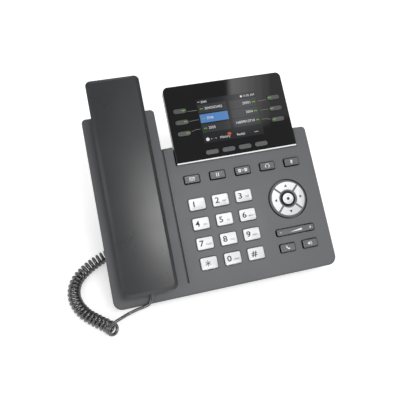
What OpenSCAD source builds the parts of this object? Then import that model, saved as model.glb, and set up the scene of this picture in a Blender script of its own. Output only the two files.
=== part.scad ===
// Desk telephone with a handset on the left, a keypad on the right and a colour display above it.
// The face frame has u across the face, v up the face and w out of it, with its origin at the lower left corner.

/* [Base] */
// Height of the keypad side, measured up the face
keypad_height = 136.3; // [134:0.1:146]
// Width of the handset cradle
cradle_width = 67.5; // [66:0.5:74]
// Height of the handset cradle, measured up the face
cradle_height = 175.6; // [172:0.1:190]
// Depth of the front housing, down to the joint line
front_depth = 12; // [11.6:0.1:14]
// Depth of the rear housing, from the joint line to the back
rear_depth = 16; // [15:0.5:22]
// Tilt of the face above the desk, in degrees
tilt = 34; // [30:0.5:38]
// Gap between the base's lowest edge and the desk
desk_gap = 3.2; // [2.8:0.1:8]
// Wall of the front housing
wall = 2.4; // [2:0.1:2.8]
// Wall of the rear housing
rear_wall = 2.2; // [1.8:0.1:2.6]
// Radius of the lower corners
corner_r = 8; // [6:0.5:12]
// Radius of the upper corners
upper_corner_r = 4; // [3:0.5:6]
// Chamfer around the face
edge_chamfer = 0.9; // [0.4:0.1:1.4]
// How far the sides lean in down to the joint line
side_draft = 1.4; // [0.6:0.1:2.4]
// How far the sides lean in down to the back
back_draft = 7; // [5:0.5:9]
// Width of the groove beside the cradle
groove_width = 1.2; // [0.8:0.1:2]
// Depth of the groove beside the cradle
groove_depth = 1.4; // [0.8:0.1:1.8]
// Distance from the lower edge to the foot of the groove
groove_start = 11; // [8:0.5:20]

/* [Display] */
// Width of the display panel
display_width = 117.8; // [112:0.2:132]
// Height of the display panel
display_height = 75.4; // [72:0.2:84]
// How far the display overlaps the keypad side
display_sink = 17.9; // [14:0.1:19]
// Strip of housing left of the display
left_ear = 11.3; // [9:0.1:14]
// Strip of housing right of the display
right_ear = 13.4; // [10:0.1:16]
// How far the display glass stands above the face
display_proud = 2; // [1.2:0.1:3]
// Thickness of the display frame, front to back
display_depth = 9.6; // [9:0.1:12]
// Depth of the cover behind the display
display_cover_depth = 6; // [4:0.5:10]
// Thickness of the glossy display lens
lens_thickness = 1.2; // [0.8:0.1:1.6]
// Wall of the display frame
display_wall = 1.6; // [1.2:0.1:2]
// Radius of the display's upper corners
display_corner_r = 5; // [3:0.5:7]
// Gap around the display in the housing
display_gap = 0.9; // [0.5:0.1:1.4]
// Width of the lit area of the screen
screen_width = 59.2; // [56:0.2:64]
// Height of the lit area of the screen
screen_height = 43.2; // [40:0.2:46]
// Distance from the screen's centre down to the display's lower edge
screen_rise = 37.5; // [36:0.5:40]
// Frame of the screen module around its lit area
screen_border = 3.2; // [3:0.1:5]
// Thickness of the screen module
screen_thickness = 3.2; // [2.4:0.1:3.6]

/* [Keys] */
// Width of a dial key
dial_key_width = 15.3; // [13:0.1:17]
// Height of a dial key
dial_key_height = 10.8; // [9:0.1:12]
// Spacing of the dial keys across
dial_pitch_u = 22.3; // [20:0.1:23]
// Spacing of the dial keys up the face
dial_pitch_v = 18.25; // [16:0.05:19]
// Distance from the cradle to the middle of the first column of keys
dial_margin = 22.3; // [20:0.1:24]
// Width of a function key
function_key_width = 14.6; // [12:0.1:16]
// Height of a function key
function_key_height = 7.5; // [6:0.1:8.5]
// Distance from the right edge to the middle of the last function key
function_end = 22.2; // [20:0.1:24]
// Distance from the display down to the middle of the function keys
function_margin = 15.3; // [13:0.1:17]
// Distance from the function keys down to the first row of dial keys
dial_drop = 23.8; // [20:0.1:25]
// Spacing of the call key and the speaker key
call_pitch = 22.2; // [19:0.1:24]
// Width of a soft key or a line key
pill_width = 12.8; // [11:0.1:14]
// Height of a soft key or a line key
pill_height = 4.5; // [3.8:0.1:5]
// Spacing of the soft keys
soft_pitch = 16.1; // [15:0.1:17]
// Distance from the soft keys down to the display's lower edge
soft_rise = 6.8; // [6:0.1:7.6]
// Spacing of the line keys up the display
line_pitch = 11.05; // [9:0.05:12]
// Distance from the line keys' middle to the display's side
line_margin = 12.4; // [11:0.1:13]
// Distance from the middle line keys up to the screen's centre
line_lift = 1.8; // [0:0.1:4]
// How far a key stands above the face
key_proud = 1.6; // [1:0.1:2.2]
// How far a pill key stands above the lens
pill_proud = 0.5; // [0.3:0.1:1]
// Clearance around a key in its hole
key_gap = 0.35; // [0.25:0.05:0.5]
// Travel of a key when pressed
key_travel = 0.8; // [0.5:0.1:0.9]
// Width of the collar that keeps a key behind the face
key_collar = 0.9; // [0.6:0.1:1]
// Thickness of the collar
collar_thickness = 1.2; // [0.8:0.1:1.3]
// Radius of a key's stem
stem_r = 2; // [1.5:0.1:2.4]

/* [Navigation pad] */
// Outer radius of the navigation ring
nav_r = 17.9; // [16:0.1:19]
// Radius of the hole in the navigation ring
nav_bore_r = 7; // [6.6:0.1:7.4]
// Radius of the select key
ok_r = 5.3; // [4.6:0.1:5.6]
// Inner radius of the four direction keys
nav_key_inner_r = 8.8; // [8.2:0.1:10]
// Outer radius of the four direction keys
nav_key_outer_r = 16; // [14:0.1:16.6]
// Width of the grooves between the direction keys
nav_split = 1.9; // [1:0.1:2.6]
// Step between the direction keys and their ring
nav_step = 0.5; // [0.3:0.1:0.8]
// Clearance around the navigation ring in its hole
nav_gap = 1; // [0.8:0.1:1.4]
// Distance from the right edge to the middle of the navigation ring
nav_margin = 33.6; // [31:0.1:35]
// Distance from the function keys down to the middle of the navigation ring
nav_drop = 34.3; // [32:0.1:36]
// Distance from the navigation ring down to the volume rocker
volume_drop = 30.3; // [27:0.1:31]
// Width of the volume rocker
volume_width = 37.2; // [34:0.1:38]
// Height of the volume rocker
volume_height = 6.3; // [5:0.1:7]
// Distance from the volume rocker down to the call key
call_drop = 14.7; // [13:0.1:15]

/* [Handset] */
// Width of the handset
handset_width = 47; // [45:0.5:48]
// Distance from the base's lower edge to the handset
handset_start = 9.3; // [8:0.1:12]
// Height of the handset's outer face at its lower end
handset_low = 24.2; // [23:0.1:28]
// Height of the handset's outer face at its upper end
handset_high = 29; // [27:0.1:33]
// Radius of the handset's corners
handset_corner_r = 5.5; // [4:0.5:7]
// Width of the bevel around the handset's outer face
bevel_width = 3; // [2:0.1:4]
// Depth of the bevel around the handset's outer face
bevel_depth = 3.2; // [2:0.1:4]
// Depth of the outer cover down to the handset's joint line
cover_depth = 11; // [10:0.1:12]
// Thickness of the handset at its grip
grip_depth = 16.5; // [15.5:0.1:17.5]
// Wall of the handset
handset_wall = 2; // [1.6:0.1:2.2]
// Distance from the handset's lower end to the mouthpiece
mouth_start = 6; // [5:0.5:8]
// Length of the mouthpiece
mouth_length = 37; // [34:0.5:40]
// Distance from the earpiece to the cradle's upper end
ear_margin = 7.3; // [7:0.1:12]
// Length of the earpiece
ear_length = 37; // [34:0.5:38]
// Length of the handset beyond the earpiece
head_length = 31.2; // [26:0.2:36]
// Width of the earpiece and the mouthpiece
pad_width = 37; // [34:0.5:38]
// How far the pads taper in towards the cradle
pad_taper = 2.5; // [1.5:0.1:4]
// Radius of the pads' corners
pad_corner_r = 7; // [5:0.5:10]
// Depth that the pads sink below the face
pad_sink = 3.4; // [2.6:0.1:4]
// Gap between the pads and the wells
pad_gap = 0.9; // [0.6:0.1:1.2]
// Travel of the handset when it is lifted
handset_lift = 60; // [40:1:80]

// Width of the jack in the handset
handset_jack_width = 12; // [11.6:0.1:13]
// Height of the jack in the handset
handset_jack_height = 10; // [9.6:0.1:10.4]
// Height of the handset's jack above the face
handset_jack_rise = 1.2; // [0.8:0.1:2]
// Length of the jack in the handset
handset_jack_length = 14; // [13:0.1:16]
// Length of a handset screw below its head
handset_screw_length = 7; // [5:0.5:7.5]
// Height of a handset screw's head
handset_screw_head = 1; // [0.8:0.1:1.1]
// Radius of the earpiece's receiver
receiver_r = 11.5; // [10:0.5:12]
// Radius of the magnet behind the receiver
magnet_r = 7; // [6:0.5:8]
// Depth of the receiver and its magnet
receiver_depth = 6.4; // [5:0.1:7]
// Radius of the microphone
microphone_r = 4.8; // [4:0.1:5]
// Depth of the microphone
microphone_depth = 5; // [4:0.1:6]

/* [Hook switch] */
// Width of the hook switch
hook_width = 13; // [10:0.5:16]
// Length of the hook switch up the face
hook_length = 6.5; // [5:0.5:8]
// Distance from the earpiece's lower end to the middle of the hook switch
hook_margin = 7.2; // [6:0.1:9]
// Rise of the hook switch when the handset is lifted
hook_rise = 3; // [2:0.1:3.4]
// Clearance around the hook switch
hook_gap = 0.35; // [0.3:0.05:0.5]

/* [Inside] */
// Distance from the right edge to the circuit board
board_margin = 21; // [20:0.5:24]
// Side of the shield over the processor
shield_size = 26; // [20:0.5:28]
// Height of the shield over the processor
shield_height = 3; // [2:0.1:3.2]
// Distance from the right edge to the screw beside the navigation ring
screw_margin = 15; // [14.5:0.1:16]
// Distance from the lower edge to the screws
screw_rise = 13.5; // [13:0.1:15]
// Thickness of the circuit board
board_thickness = 1.6; // [1:0.1:1.8]
// Thickness of the rubber key mat
mat_thickness = 1; // [0.8:0.1:1.1]
// Height of a rubber dome
dome_height = 0.8; // [0.5:0.1:0.9]
// Radius of a rubber dome
dome_r = 3.6; // [3:0.1:4]
// Clearance between a pressed key and its dome
dome_gap = 0.4; // [0.3:0.1:0.6]
// Radius of the loudspeaker
speaker_r = 18; // [15:0.5:20]
// Depth of the loudspeaker
speaker_depth = 12; // [10:0.5:13]
// Distance from the right edge to the middle of the loudspeaker
speaker_margin = 62; // [60:0.5:66]
// Distance from the lower edge to the middle of the loudspeaker
speaker_rise = 62; // [58:0.5:66]
// Width of a slot in the loudspeaker's grille
grille_slot = 1.8; // [1.2:0.1:2.4]
// Spacing of the slots in the loudspeaker's grille
grille_pitch = 4; // [3.6:0.1:5]
// Width of a cooling slot
cooling_slot = 2; // [1.6:0.1:2.4]
// Length of a cooling slot
cooling_length = 12; // [10:0.5:14]
// Spacing of the cooling slots
cooling_pitch = 7; // [6:0.5:8]
// Distance from the cable bay to the first cooling slot
cooling_start = 26; // [24:0.5:28]
// Distance from the lower edge to the middle of the cooling slots
cooling_rise = 20; // [18:0.5:22]
// Radius of a screw's thread
screw_r = 1.5; // [1.2:0.05:1.6]
// Radius of a screw's head
screw_head_r = 2.9; // [2.6:0.1:3]
// Height of a screw's head
screw_head = 2; // [1.6:0.1:2.4]
// Radius of a screw post
post_r = 3.4; // [3:0.1:3.6]

/* [Cable bay] */
// Width of the cable bay from the left edge
bay_width = 58; // [56:0.5:60]
// Distance from the lower edge to the cable bay
bay_start = 24; // [22:0.5:26]
// Length of the cable bay up the face
bay_length = 80; // [78:0.5:84]
// Width of the opening of a cord socket
cord_socket_width = 7.8; // [7.7:0.05:8]
// Height of the opening of a cord socket
cord_socket_height = 6.4; // [6.3:0.05:6.6]
// Width of the opening of a network socket
network_socket_width = 11.8; // [11.7:0.05:12]
// Height of the opening of a network socket
network_socket_height = 8; // [7.8:0.05:8.4]
// Depth of the sockets
socket_depth = 11; // [10:0.1:12]
// Radius of the opening of the power socket
power_socket_r = 2.85; // [2.8:0.05:3.2]
// Radius of the pin in the power socket
power_pin_r = 1.05; // [0.9:0.05:1.2]
// Clearance of a plug in its socket, on each side
plug_gap = 0.1; // [0.05:0.05:0.2]

/* [Stand] */
// Width of the stand
stand_width = 150; // [130:1:160]
// Thickness of the stand's walls
stand_wall = 2.6; // [2:0.1:3]
// Distance from the keypad side's upper edge down to the stand's upper end
stand_margin = 5.3; // [4.3:0.1:7.3]
// Length of the stand's plate down the back
stand_length = 33; // [30:0.5:36]
// Distance from the lower edge of the face back to the stand's foot
stand_reach = 166; // [160:1:180]
// Length of the stand's foot, front to back
stand_foot = 15; // [13.5:0.5:20]
// Height of the cable window in the back of the stand
window_height = 26; // [22:0.5:28]
// Height of that window's middle over the foot
window_rise = 33; // [31:0.5:35]
// Width of the stand that is left on each side of that window
window_margin = 25; // [20:0.5:30]
// Distance of each rib from the side of the stand
rib_margin = 20; // [15:0.5:24]
// Distance of each hook from the side of the stand
hook_side = 45; // [40:0.5:50]
// Width of a hook on the stand
stand_hook_width = 14; // [10:0.5:16]
// Radius of a rubber foot
foot_r = 6; // [5:0.5:6.5]
// Thickness of a rubber foot
foot_thickness = 2; // [1.4:0.1:2.6]

/* [Cord] */
// Diameter of the cord
cord_diameter = 2.9; // [2.8:0.1:3]
// Outer diameter of the cord's coil
coil_diameter = 12.4; // [12:0.1:13]

/* [Hidden] */

$fn = 48;
// Sides of the corners on drafted shapes
draft_fn = 24;
// Overshoot of a cut past the face it opens
eps = 1;
// Depth of a shape sunk into its neighbour on the same piece
sink = 0.3;

// Depth of the whole base, and the height of its lower front edge above the desk
body_depth = front_depth + rear_depth;
edge_height = desk_gap + body_depth * cos(tilt) - back_draft * sin(tilt);

// The earpiece lies in the upper end of the cradle, and the hook switch lies under it
ear_start = cradle_height - ear_margin - ear_length - handset_start;
handset_length = ear_start + ear_length + head_length;
hook_place = handset_start + ear_start + hook_margin;

// Where the housing's origin lies: the middle of the depth from the handset's lower edge to the stand's foot
handset_pitch = asin((handset_high - handset_low) / handset_length);
front_reach = (handset_start + bevel_depth * sin(handset_pitch)) * cos(tilt)
              - (handset_low - bevel_depth * cos(handset_pitch)) * sin(tilt);
depth_centre = (front_reach + stand_reach) / 2;

// A point of the face frame in the phone's own frame
function face_y(v, w) = v * cos(tilt) - w * sin(tilt) - depth_centre;
function face_z(v, w) = edge_height + v * sin(tilt) + w * cos(tilt);
function face_point(p) = [p[0] - body_width / 2, face_y(p[1], p[2]), face_z(p[1], p[2])];

// Positions up and across the face
display_u = cradle_width + left_ear;
display_v = keypad_height - display_sink;
body_width = display_u + display_width + right_ear;
display_back = display_proud - display_depth;
lens_seat = display_proud - lens_thickness;
screen_u = display_u + display_width / 2;
screen_v = display_v + screen_rise;
function_v = display_v - function_margin;
dial_u = cradle_width + dial_margin;
dial_v = function_v - dial_drop;
function_pitch = (body_width - function_end - dial_u) / 4;
nav_u = body_width - nav_margin;
nav_v = function_v - nav_drop;
volume_v = nav_v - volume_drop;
call_v = volume_v - call_drop;
call_u = nav_u - call_pitch / 2;
handset_u = (cradle_width - handset_width) / 2;
speaker_u = body_width - speaker_margin;
stand_end = keypad_height - stand_margin;
stand_start = stand_end - stand_length;
pill_r = pill_height / 2 - 0.05;
pill_collar = 0.75;

// Levels below the face
collar_gap = 0.3;
collar_top = -wall - collar_gap;
stem_end = collar_top - collar_thickness - 1.3;
dome_top = stem_end - key_travel - dome_gap;
mat_top = dome_top - dome_height;
board_top = mat_top - mat_thickness;
board_back = board_top - board_thickness;
bay_plate = 1.8;
board_clear = 0.4;
dome_rim = 0.6;
bay_top = board_back - board_clear - bay_plate;
rear_inside = rear_wall - body_depth;
board_right = body_width - board_margin;

// Levels of the pieces that tilt
nav_flange_top = collar_top - 1.1;
nav_flange = 0.8;
volume_flange_top = collar_top - 0.8;

// Screws that hold the two housings together: beside the bay, between the dial and the call key, beside the navigation
// ring and above the bay
screw_clear = 0.6;
// Thickness under a screw's head, and the solid end of a post above the thread
screw_seat = 3;
thread_end = 2.3;
screw_places = [[bay_width + post_r + screw_clear, screw_rise],
                [(dial_u + 2 * dial_pitch_u + call_u) / 2, screw_rise],
                [body_width - screw_margin, nav_v + nav_r],
                [screw_margin, bay_start + bay_length + 4 * post_r]];

// ---- Plane shapes -------------------------------------------------------------------------------------------------

// A rectangle with rounded corners, about its centre
module rounded_rect(size, r) {
    square([size[0] - 2 * r, size[1]], center = true);
    square([size[0], size[1] - 2 * r], center = true);
    for (x = [-1, 1], y = [-1, 1])
        translate([x * (size[0] / 2 - r), y * (size[1] / 2 - r)]) circle(r);
}

// A plate with rounded corners whose top lies at height z
module plate(size, r, thickness, z) {
    translate([0, 0, z - thickness]) linear_extrude(thickness) rounded_rect(size, r);
}

// Its children as a slab that narrows by inset on every side from height z_wide to height z_narrow
module draft(size, z_wide, z_narrow, inset) {
    flip = z_narrow < z_wide ? 1 : 0;
    translate([0, 0, z_wide]) mirror([0, 0, flip])
        linear_extrude(abs(z_narrow - z_wide),
                       slices = 1,
                       scale = [(size[0] - 2 * inset) / size[0], (size[1] - 2 * inset) / size[1]])
            children();
}

// A rounded slab that narrows by inset on every side
module drafted(size, r, z_wide, z_narrow, inset) {
    draft(size, z_wide, z_narrow, inset) rounded_rect(size, r, $fn = draft_fn);
}

// A rectangle about its centre with one radius at its lower corners and another at its upper corners
module two_radius_rect(size, low, high) {
    rounded_rect(size, low, $fn = draft_fn);
    translate([0, low]) rounded_rect([size[0], size[1] - 2 * low], high, $fn = draft_fn);
}

// Places its children in the face frame
module face() {
    translate([-body_width / 2, -depth_centre, edge_height]) rotate([tilt, 0, 0]) children();
}

// Places its children in the handset's frame: x across, y along and z = 0 at the outer face
module handset() {
    face() translate([handset_u + handset_width / 2, handset_start, handset_low])
        rotate([handset_pitch, 0, 0]) children();
}

// A point of the handset's frame in the face frame
function handset_point(p) = [
    handset_u + handset_width / 2 + p[0],
    handset_start + p[1] * cos(handset_pitch) - p[2] * sin(handset_pitch),
    handset_low + p[1] * sin(handset_pitch) + p[2] * cos(handset_pitch)];

// ---- Base ---------------------------------------------------------------------------------------------------------

// Where the cradle's own slab begins inside the keypad's slab
cradle_foot = 30;

// The two overlapping slabs of the base, made smaller by inset on every side, between two heights
module base_slabs(z_wide, z_narrow, inset_wide, inset_narrow) {
    inset = inset_narrow - inset_wide;
    pad = [body_width - 2 * inset_wide, keypad_height - 2 * inset_wide];
    cradle = [cradle_width - 2 * inset_wide, cradle_height - cradle_foot - 2 * inset_wide];
    translate([body_width / 2, keypad_height / 2])
        draft(pad, z_wide, z_narrow, inset) two_radius_rect(pad, corner_r - inset_wide / 2, upper_corner_r);
    translate([cradle_width / 2, (cradle_height + cradle_foot) / 2])
        drafted(cradle, upper_corner_r, z_wide, z_narrow, inset);
}

// The cavity of the ear well or the mouth well
module well(start, length) {
    translate([cradle_width / 2, handset_start + start + length / 2])
        plate([pad_width + 2 * pad_gap, length + 2 * pad_gap], pad_corner_r, pad_sink + 0.6 + eps, eps);
}

// The block of housing around a well
module well_block(start, length) {
    translate([cradle_width / 2, handset_start + start + length / 2])
        plate([pad_width + 2 * pad_gap + 2 * wall, length + 2 * pad_gap + 2 * wall],
              pad_corner_r + wall / 2, pad_sink + 0.6 + wall, 0);
}

// The seat for the display, cut down from the face and open at the top
module display_seat() {
    translate([display_u - display_gap, display_v - 0.3, display_back])
        cube([display_width + 2 * display_gap, display_sink + eps, display_depth + eps]);
}

// The holes for every key in the face
module key_holes() {
    for (k = dial_keys) translate([dial_key_u(k), dial_key_v(k)])
        plate([dial_key_width + 2 * key_gap, dial_key_height + 2 * key_gap], 1.8, wall + 2 * eps, eps);
    for (i = [0:4]) translate([dial_u + i * function_pitch, function_v])
        plate([function_key_width + 2 * key_gap, function_key_height + 2 * key_gap], 1.3, wall + 2 * eps, eps);
    for (i = [0, 1]) translate([call_u + i * call_pitch, call_v])
        plate([function_key_width + 2 * key_gap, function_key_height + 2 * key_gap], 1.3, wall + 2 * eps, eps);
    translate([nav_u, volume_v])
        plate([volume_width + 3 * key_gap, volume_height + 2 * key_gap], 1.9, wall + 2 * eps, eps);
    translate([nav_u, nav_v, -wall - eps]) cylinder(r = nav_r + nav_gap, h = wall + 2 * eps);
}

module front_housing() {
    hook_hole = [hook_width + 2 * hook_gap, hook_length + 2 * hook_gap];
    color("dimgray") face() difference() {
        union() {
            difference() {
                union() {
                    base_slabs(-edge_chamfer, 0, 0, edge_chamfer);
                    base_slabs(-edge_chamfer, -front_depth, 0, side_draft);
                }
                base_slabs(-wall, -front_depth - eps, wall, wall + side_draft);
            }
            intersection() {
                base_slabs(0, -front_depth, sink, side_draft + sink);
                union() {
                    well_block(mouth_start, mouth_length);
                    well_block(ear_start, ear_length);
                    // The shelf under the display and the ribs at its sides
                    translate([display_u - display_gap - wall, display_v - wall, display_back - wall])
                        cube([display_width + 2 * display_gap + 2 * wall, display_sink + wall, -display_back + wall]);
                    for (p = screw_places) translate([p[0], p[1], -front_depth])
                        cylinder(r = post_r, h = front_depth - wall + sink);
                    // The walls that guide the hook switch
                    translate([cradle_width / 2, hook_place])
                        plate([hook_hole[0] + 2 * wall, hook_hole[1] + 2 * wall], 1.5, front_depth - 2, 0);
                }
            }
        }
        well(mouth_start, mouth_length);
        well(ear_start, ear_length);
        display_seat();
        key_holes();
        translate([cradle_width / 2, hook_place]) plate(hook_hole, 1.2, front_depth + 2 * eps, eps);
        translate([cradle_width, groove_start, -groove_depth])
            cube([groove_width, keypad_height - groove_start + eps, groove_depth + eps]);
        for (p = screw_places) translate([p[0], p[1], -front_depth - eps])
            cylinder(r = screw_r, h = front_depth - wall - thread_end + eps);
    }
}

// Distance from the base's side to the block over a front foot, and the rim of the block around the foot
foot_margin = 13;
foot_rim = 1.5;

// A foot block under the lower edge of the rear housing, flat and level on its underside
module foot_block() {
    step = foot_thickness;
    y_front = back_draft + 1;
    y_back = y_front + 2 * foot_r + 2;
    rotate([90, 0, 90]) linear_extrude(2 * (foot_r + foot_rim)) polygon([
        [face_y(y_front, -body_depth) + depth_centre, step],
        [face_y(y_front, -body_depth) + depth_centre, face_z(y_front, -body_depth + sink)],
        [face_y(y_back, -body_depth) + depth_centre, face_z(y_back, -body_depth + sink)],
        [face_y(y_back, -body_depth) + depth_centre, step]]);
}

module rear_housing() {
    color("dimgray") {
        face() difference() {
            union() {
                difference() {
                    base_slabs(-front_depth, -body_depth, side_draft, back_draft);
                    base_slabs(-front_depth + eps, rear_inside, side_draft + rear_wall - 0.2, back_draft + rear_wall);
                    translate([-eps, bay_start, -body_depth - eps])
                        cube([bay_width + eps, bay_length, body_depth - front_depth + 2 * eps]);
                }
                bay_walls();
                // The seats of the screws
                for (p = screw_places) translate([p[0], p[1], -body_depth + sink])
                    cylinder(r = screw_head_r + rear_wall, h = body_depth - front_depth - sink);
                // The ring that centres the loudspeaker
                translate([speaker_u, speaker_rise, -body_depth + sink]) difference() {
                    cylinder(r = speaker_r + 2, h = 6);
                    translate([0, 0, rear_wall - sink]) cylinder(r = speaker_r + 0.2, h = 6);
                }
            }
            for (p = screw_places) translate([p[0], p[1], -body_depth - eps]) {
                cylinder(r = screw_r + 0.2, h = body_depth);
                cylinder(r = screw_head_r + 0.3, h = rear_depth - screw_seat + eps);
            }
            speaker_grille();
            jack_windows();
            for (side = [-1, 1]) hook_slot(side);
            cooling_slots();
        }
        for (x = [-body_width / 2 + foot_margin, body_width / 2 - foot_margin - 2 * (foot_r + foot_rim)])
            translate([x, -depth_centre, 0]) foot_block();
    }
}

// The walls of the cable bay: its ceiling, its two ends and the wall that the jacks look out of
module bay_walls() {
    floor_w = -body_depth + 2;
    height = bay_top + bay_plate - floor_w;
    translate([wall + side_draft + 0.5, bay_start - bay_plate, bay_top])
        cube([bay_width - wall - side_draft - 0.5 + bay_plate, bay_length + 2 * bay_plate, bay_plate]);
    translate([bay_width, bay_start - bay_plate, floor_w])
        cube([bay_plate, bay_length + 2 * bay_plate, height]);
    for (v = [bay_start - bay_plate, bay_start + bay_length])
        translate([back_draft + 1, v, floor_w])
            cube([bay_width - back_draft - 1 + bay_plate, bay_plate, height]);
}

// Radius of the corners of the slots in the back
slot_r = 0.5;

// The slots in front of the loudspeaker, each as long as the cone is wide there
module speaker_grille() {
    reach = speaker_r - 3;
    rows = floor(reach / grille_pitch);
    for (i = [-rows:rows]) {
        half = sqrt(reach * reach - i * i * grille_pitch * grille_pitch);
        translate([speaker_u, speaker_rise + i * grille_pitch])
            plate([2 * half, grille_slot], slot_r, rear_wall + 2 * eps, rear_inside + eps);
    }
}

// The cooling slots low in the back
module cooling_slots() {
    for (i = [0:5]) translate([bay_width + cooling_start + i * cooling_pitch, cooling_rise])
        plate([cooling_slot, cooling_length], slot_r, rear_wall + 2 * eps, rear_inside + eps);
}

// ---- Sockets ------------------------------------------------------------------------------------------------------

// Positions of the jacks along the cable bay, and their sizes along the bay and off the board
jack_clear = 0.2;
cord_jack_pitch = 12.4;
cord_jack_length = 2 * cord_jack_pitch;
cord_jack_height = 11;
cord_jack_v = bay_start + 3;
network_pitch = 16.4;
network_length = 2 * network_pitch;
network_height = 13.4;
network_v = cord_jack_v + cord_jack_length + 4;
network_body = 21;
power_length = 9;
power_v = network_v + network_length + 4;
power_height = 11;
jack_body = 14;
cord_socket_w = board_back - cord_jack_height / 2 - 0.4;
network_socket_w = board_back - network_height / 2;
power_socket_w = board_back - power_height / 2;

// The windows in the bay's wall
module jack_windows() {
    for (j = [[cord_jack_v, cord_jack_length, cord_jack_height],
              [network_v, network_length, network_height],
              [power_v, power_length, power_height]])
        translate([bay_width - eps, j[0] - jack_clear, board_back - j[2] - jack_clear])
            cube([bay_plate + 2 * eps, j[1] + 2 * jack_clear, j[2] + jack_clear + eps + 4]);
}

// A block of sockets behind the board, opening to the left
module jack_block(v, length, height, body) {
    translate([bay_width + 0.2, v, board_back - height]) cube([body, length, height]);
}

module cord_jacks() {
    color("black") face() difference() {
        jack_block(cord_jack_v, cord_jack_length, cord_jack_height, jack_body);
        for (i = [0, 1])
            translate([bay_width - eps, cord_jack_v + (i + 0.5) * cord_jack_pitch - cord_socket_width / 2,
                       cord_socket_w - cord_socket_height / 2]) {
                cube([socket_depth + eps, cord_socket_width, cord_socket_height]);
                // The latch notch, on the side away from the board
                translate([0, cord_socket_width / 2 - 1.7, -1.3])
                    cube([socket_depth - 3 + eps, 3.4, 2]);
            }
    }
}

module network_jacks() {
    color("black") face() difference() {
        jack_block(network_v, network_length, network_height, network_body);
        for (i = [0, 1])
            translate([bay_width - eps, network_v + (i + 0.5) * network_pitch - network_socket_width / 2,
                       network_socket_w - network_socket_height / 2]) {
                cube([socket_depth + 2 + eps, network_socket_width, network_socket_height]);
                translate([0, network_socket_width / 2 - 3, -1.6]) cube([socket_depth - 2 + eps, 6, 2.4]);
            }
    }
}

module power_jack() {
    color("black") face() {
        difference() {
            jack_block(power_v, power_length, power_height, jack_body);
            translate([bay_width - eps, power_v + power_length / 2, power_socket_w])
                rotate([0, 90, 0]) cylinder(r = power_socket_r, h = socket_depth + eps, $fn = draft_fn);
        }
        translate([bay_width + 1.5, power_v + power_length / 2, power_socket_w])
            rotate([0, 90, 0]) cylinder(r = power_pin_r, h = socket_depth, $fn = draft_fn);
    }
}

// ---- Inside the base ----------------------------------------------------------------------------------------------

// The holes that let the screw posts through, with room around each post
module post_holes(z, height) {
    for (p = screw_places) translate([p[0], p[1], z]) cylinder(r = post_r + board_clear, h = height);
}

module main_board() {
    left = bay_width + 1;
    start = bay_start - bay_plate - jack_clear;
    color("darkgreen") face() difference() {
        union() {
            translate([left, start, board_back])
                cube([board_right - left, display_v - wall - 2 - start, board_thickness]);
            // The tongue under the lowest keys
            translate([left + 11, call_v - dome_r - dome_rim, board_back])
                cube([board_right - left - 11, start - call_v + dome_r + dome_rim + 2, board_thickness]);
            // The processor under its shield and the converter's coil, on the side of the board away from the keys
            translate([speaker_u - speaker_r - shield_size + 4, speaker_rise + speaker_r / 2 - 1, board_back - shield_height])
                cube([shield_size, shield_size, shield_height + sink]);
            translate([left + network_body + 8, bay_start + 4, board_back - shield_height + 1])
                cube([shield_size / 2, shield_size - 6, shield_height - 1 + sink]);
        }
        post_holes(board_back - shield_height - eps, board_thickness + shield_height + 2 * eps);
    }
}

module key_mat() {
    color("lightgray") face() {
        difference() {
            translate([dial_u - dial_key_width / 2, call_v - dome_r - dome_rim, mat_top - mat_thickness])
                cube([board_right - dial_u + dial_key_width / 2,
                      function_v - call_v + 2 * (dome_r + dome_rim), mat_thickness]);
            // The locating hole between the dial and the navigation ring
            translate([dial_u + 2.6 * dial_pitch_u, nav_v, mat_top - mat_thickness - eps])
                cylinder(r = 1.5, h = mat_thickness + 2 * eps);
            post_holes(mat_top - mat_thickness - eps, mat_thickness + 2 * eps);
        }
        for (k = dial_keys) dome(dial_key_u(k), dial_key_v(k));
        for (i = [0:4]) dome(dial_u + i * function_pitch, function_v);
        for (i = [0, 1]) dome(call_u + i * call_pitch, call_v);
        dome(nav_u, nav_v);
    }
}

// A hollow-sided dome of the key mat
module dome(u, v) {
    translate([u, v, mat_top - sink]) cylinder(r1 = dome_r, r2 = stem_r + 0.4, h = dome_height + sink);
}

module loudspeaker() {
    face() translate([speaker_u, speaker_rise, rear_inside]) {
        color("dimgray") rotate_extrude() polygon([
            [0, 3], [5, 1.6], [speaker_r - 3, 0.8], [speaker_r - 3, 0], [speaker_r, 0], [speaker_r, 2.4],
            [speaker_r - 1.5, 3], [10, 7.4], [10, speaker_depth - 1], [9, speaker_depth], [0, speaker_depth]]);
    }
}

module housing_screws() {
    color("silver") face() for (p = screw_places) translate([p[0], p[1], -front_depth - screw_seat]) {
        cylinder(r = screw_r - 0.05, h = screw_seat + front_depth - wall - thread_end - 0.2);
        translate([0, 0, -screw_head]) difference() {
            cylinder(r = screw_head_r, h = screw_head);
            for (a = [0, 90]) rotate(a) translate([-1.5, -0.35, -eps]) cube([3, 0.7, 1 + eps]);
        }
    }
}

// ---- Display ------------------------------------------------------------------------------------------------------

// The display's outline made smaller by inset: round upper corners and nearly square lower ones
module display_outline(inset) {
    size = [display_width - 2 * inset, display_height - 2 * inset];
    translate([display_u + display_width / 2, display_v + display_height / 2]) {
        rounded_rect(size, display_corner_r - inset);
        translate([0, -display_corner_r]) square([size[0], size[1] - 2 * display_corner_r], center = true);
        translate([0, -size[1] / 2 + display_corner_r / 2 + 0.6])
            rounded_rect([size[0], display_corner_r + 1.2], 1.2);
    }
}

// Places of the four soft keys, then of the line keys from the top left down and from the top right down
function soft_place(i) = [screen_u + 0.3 + (i - 2.5) * soft_pitch, display_v + soft_rise];
function line_place(i) = [i <= 3 ? display_u + line_margin : display_u + display_width - line_margin,
                          screen_v + line_lift + (2 - (i <= 3 ? i : i - 3)) * line_pitch];
pill_places = concat([for (i = [1:4]) soft_place(i)], [for (i = [1:6]) line_place(i)]);

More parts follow.
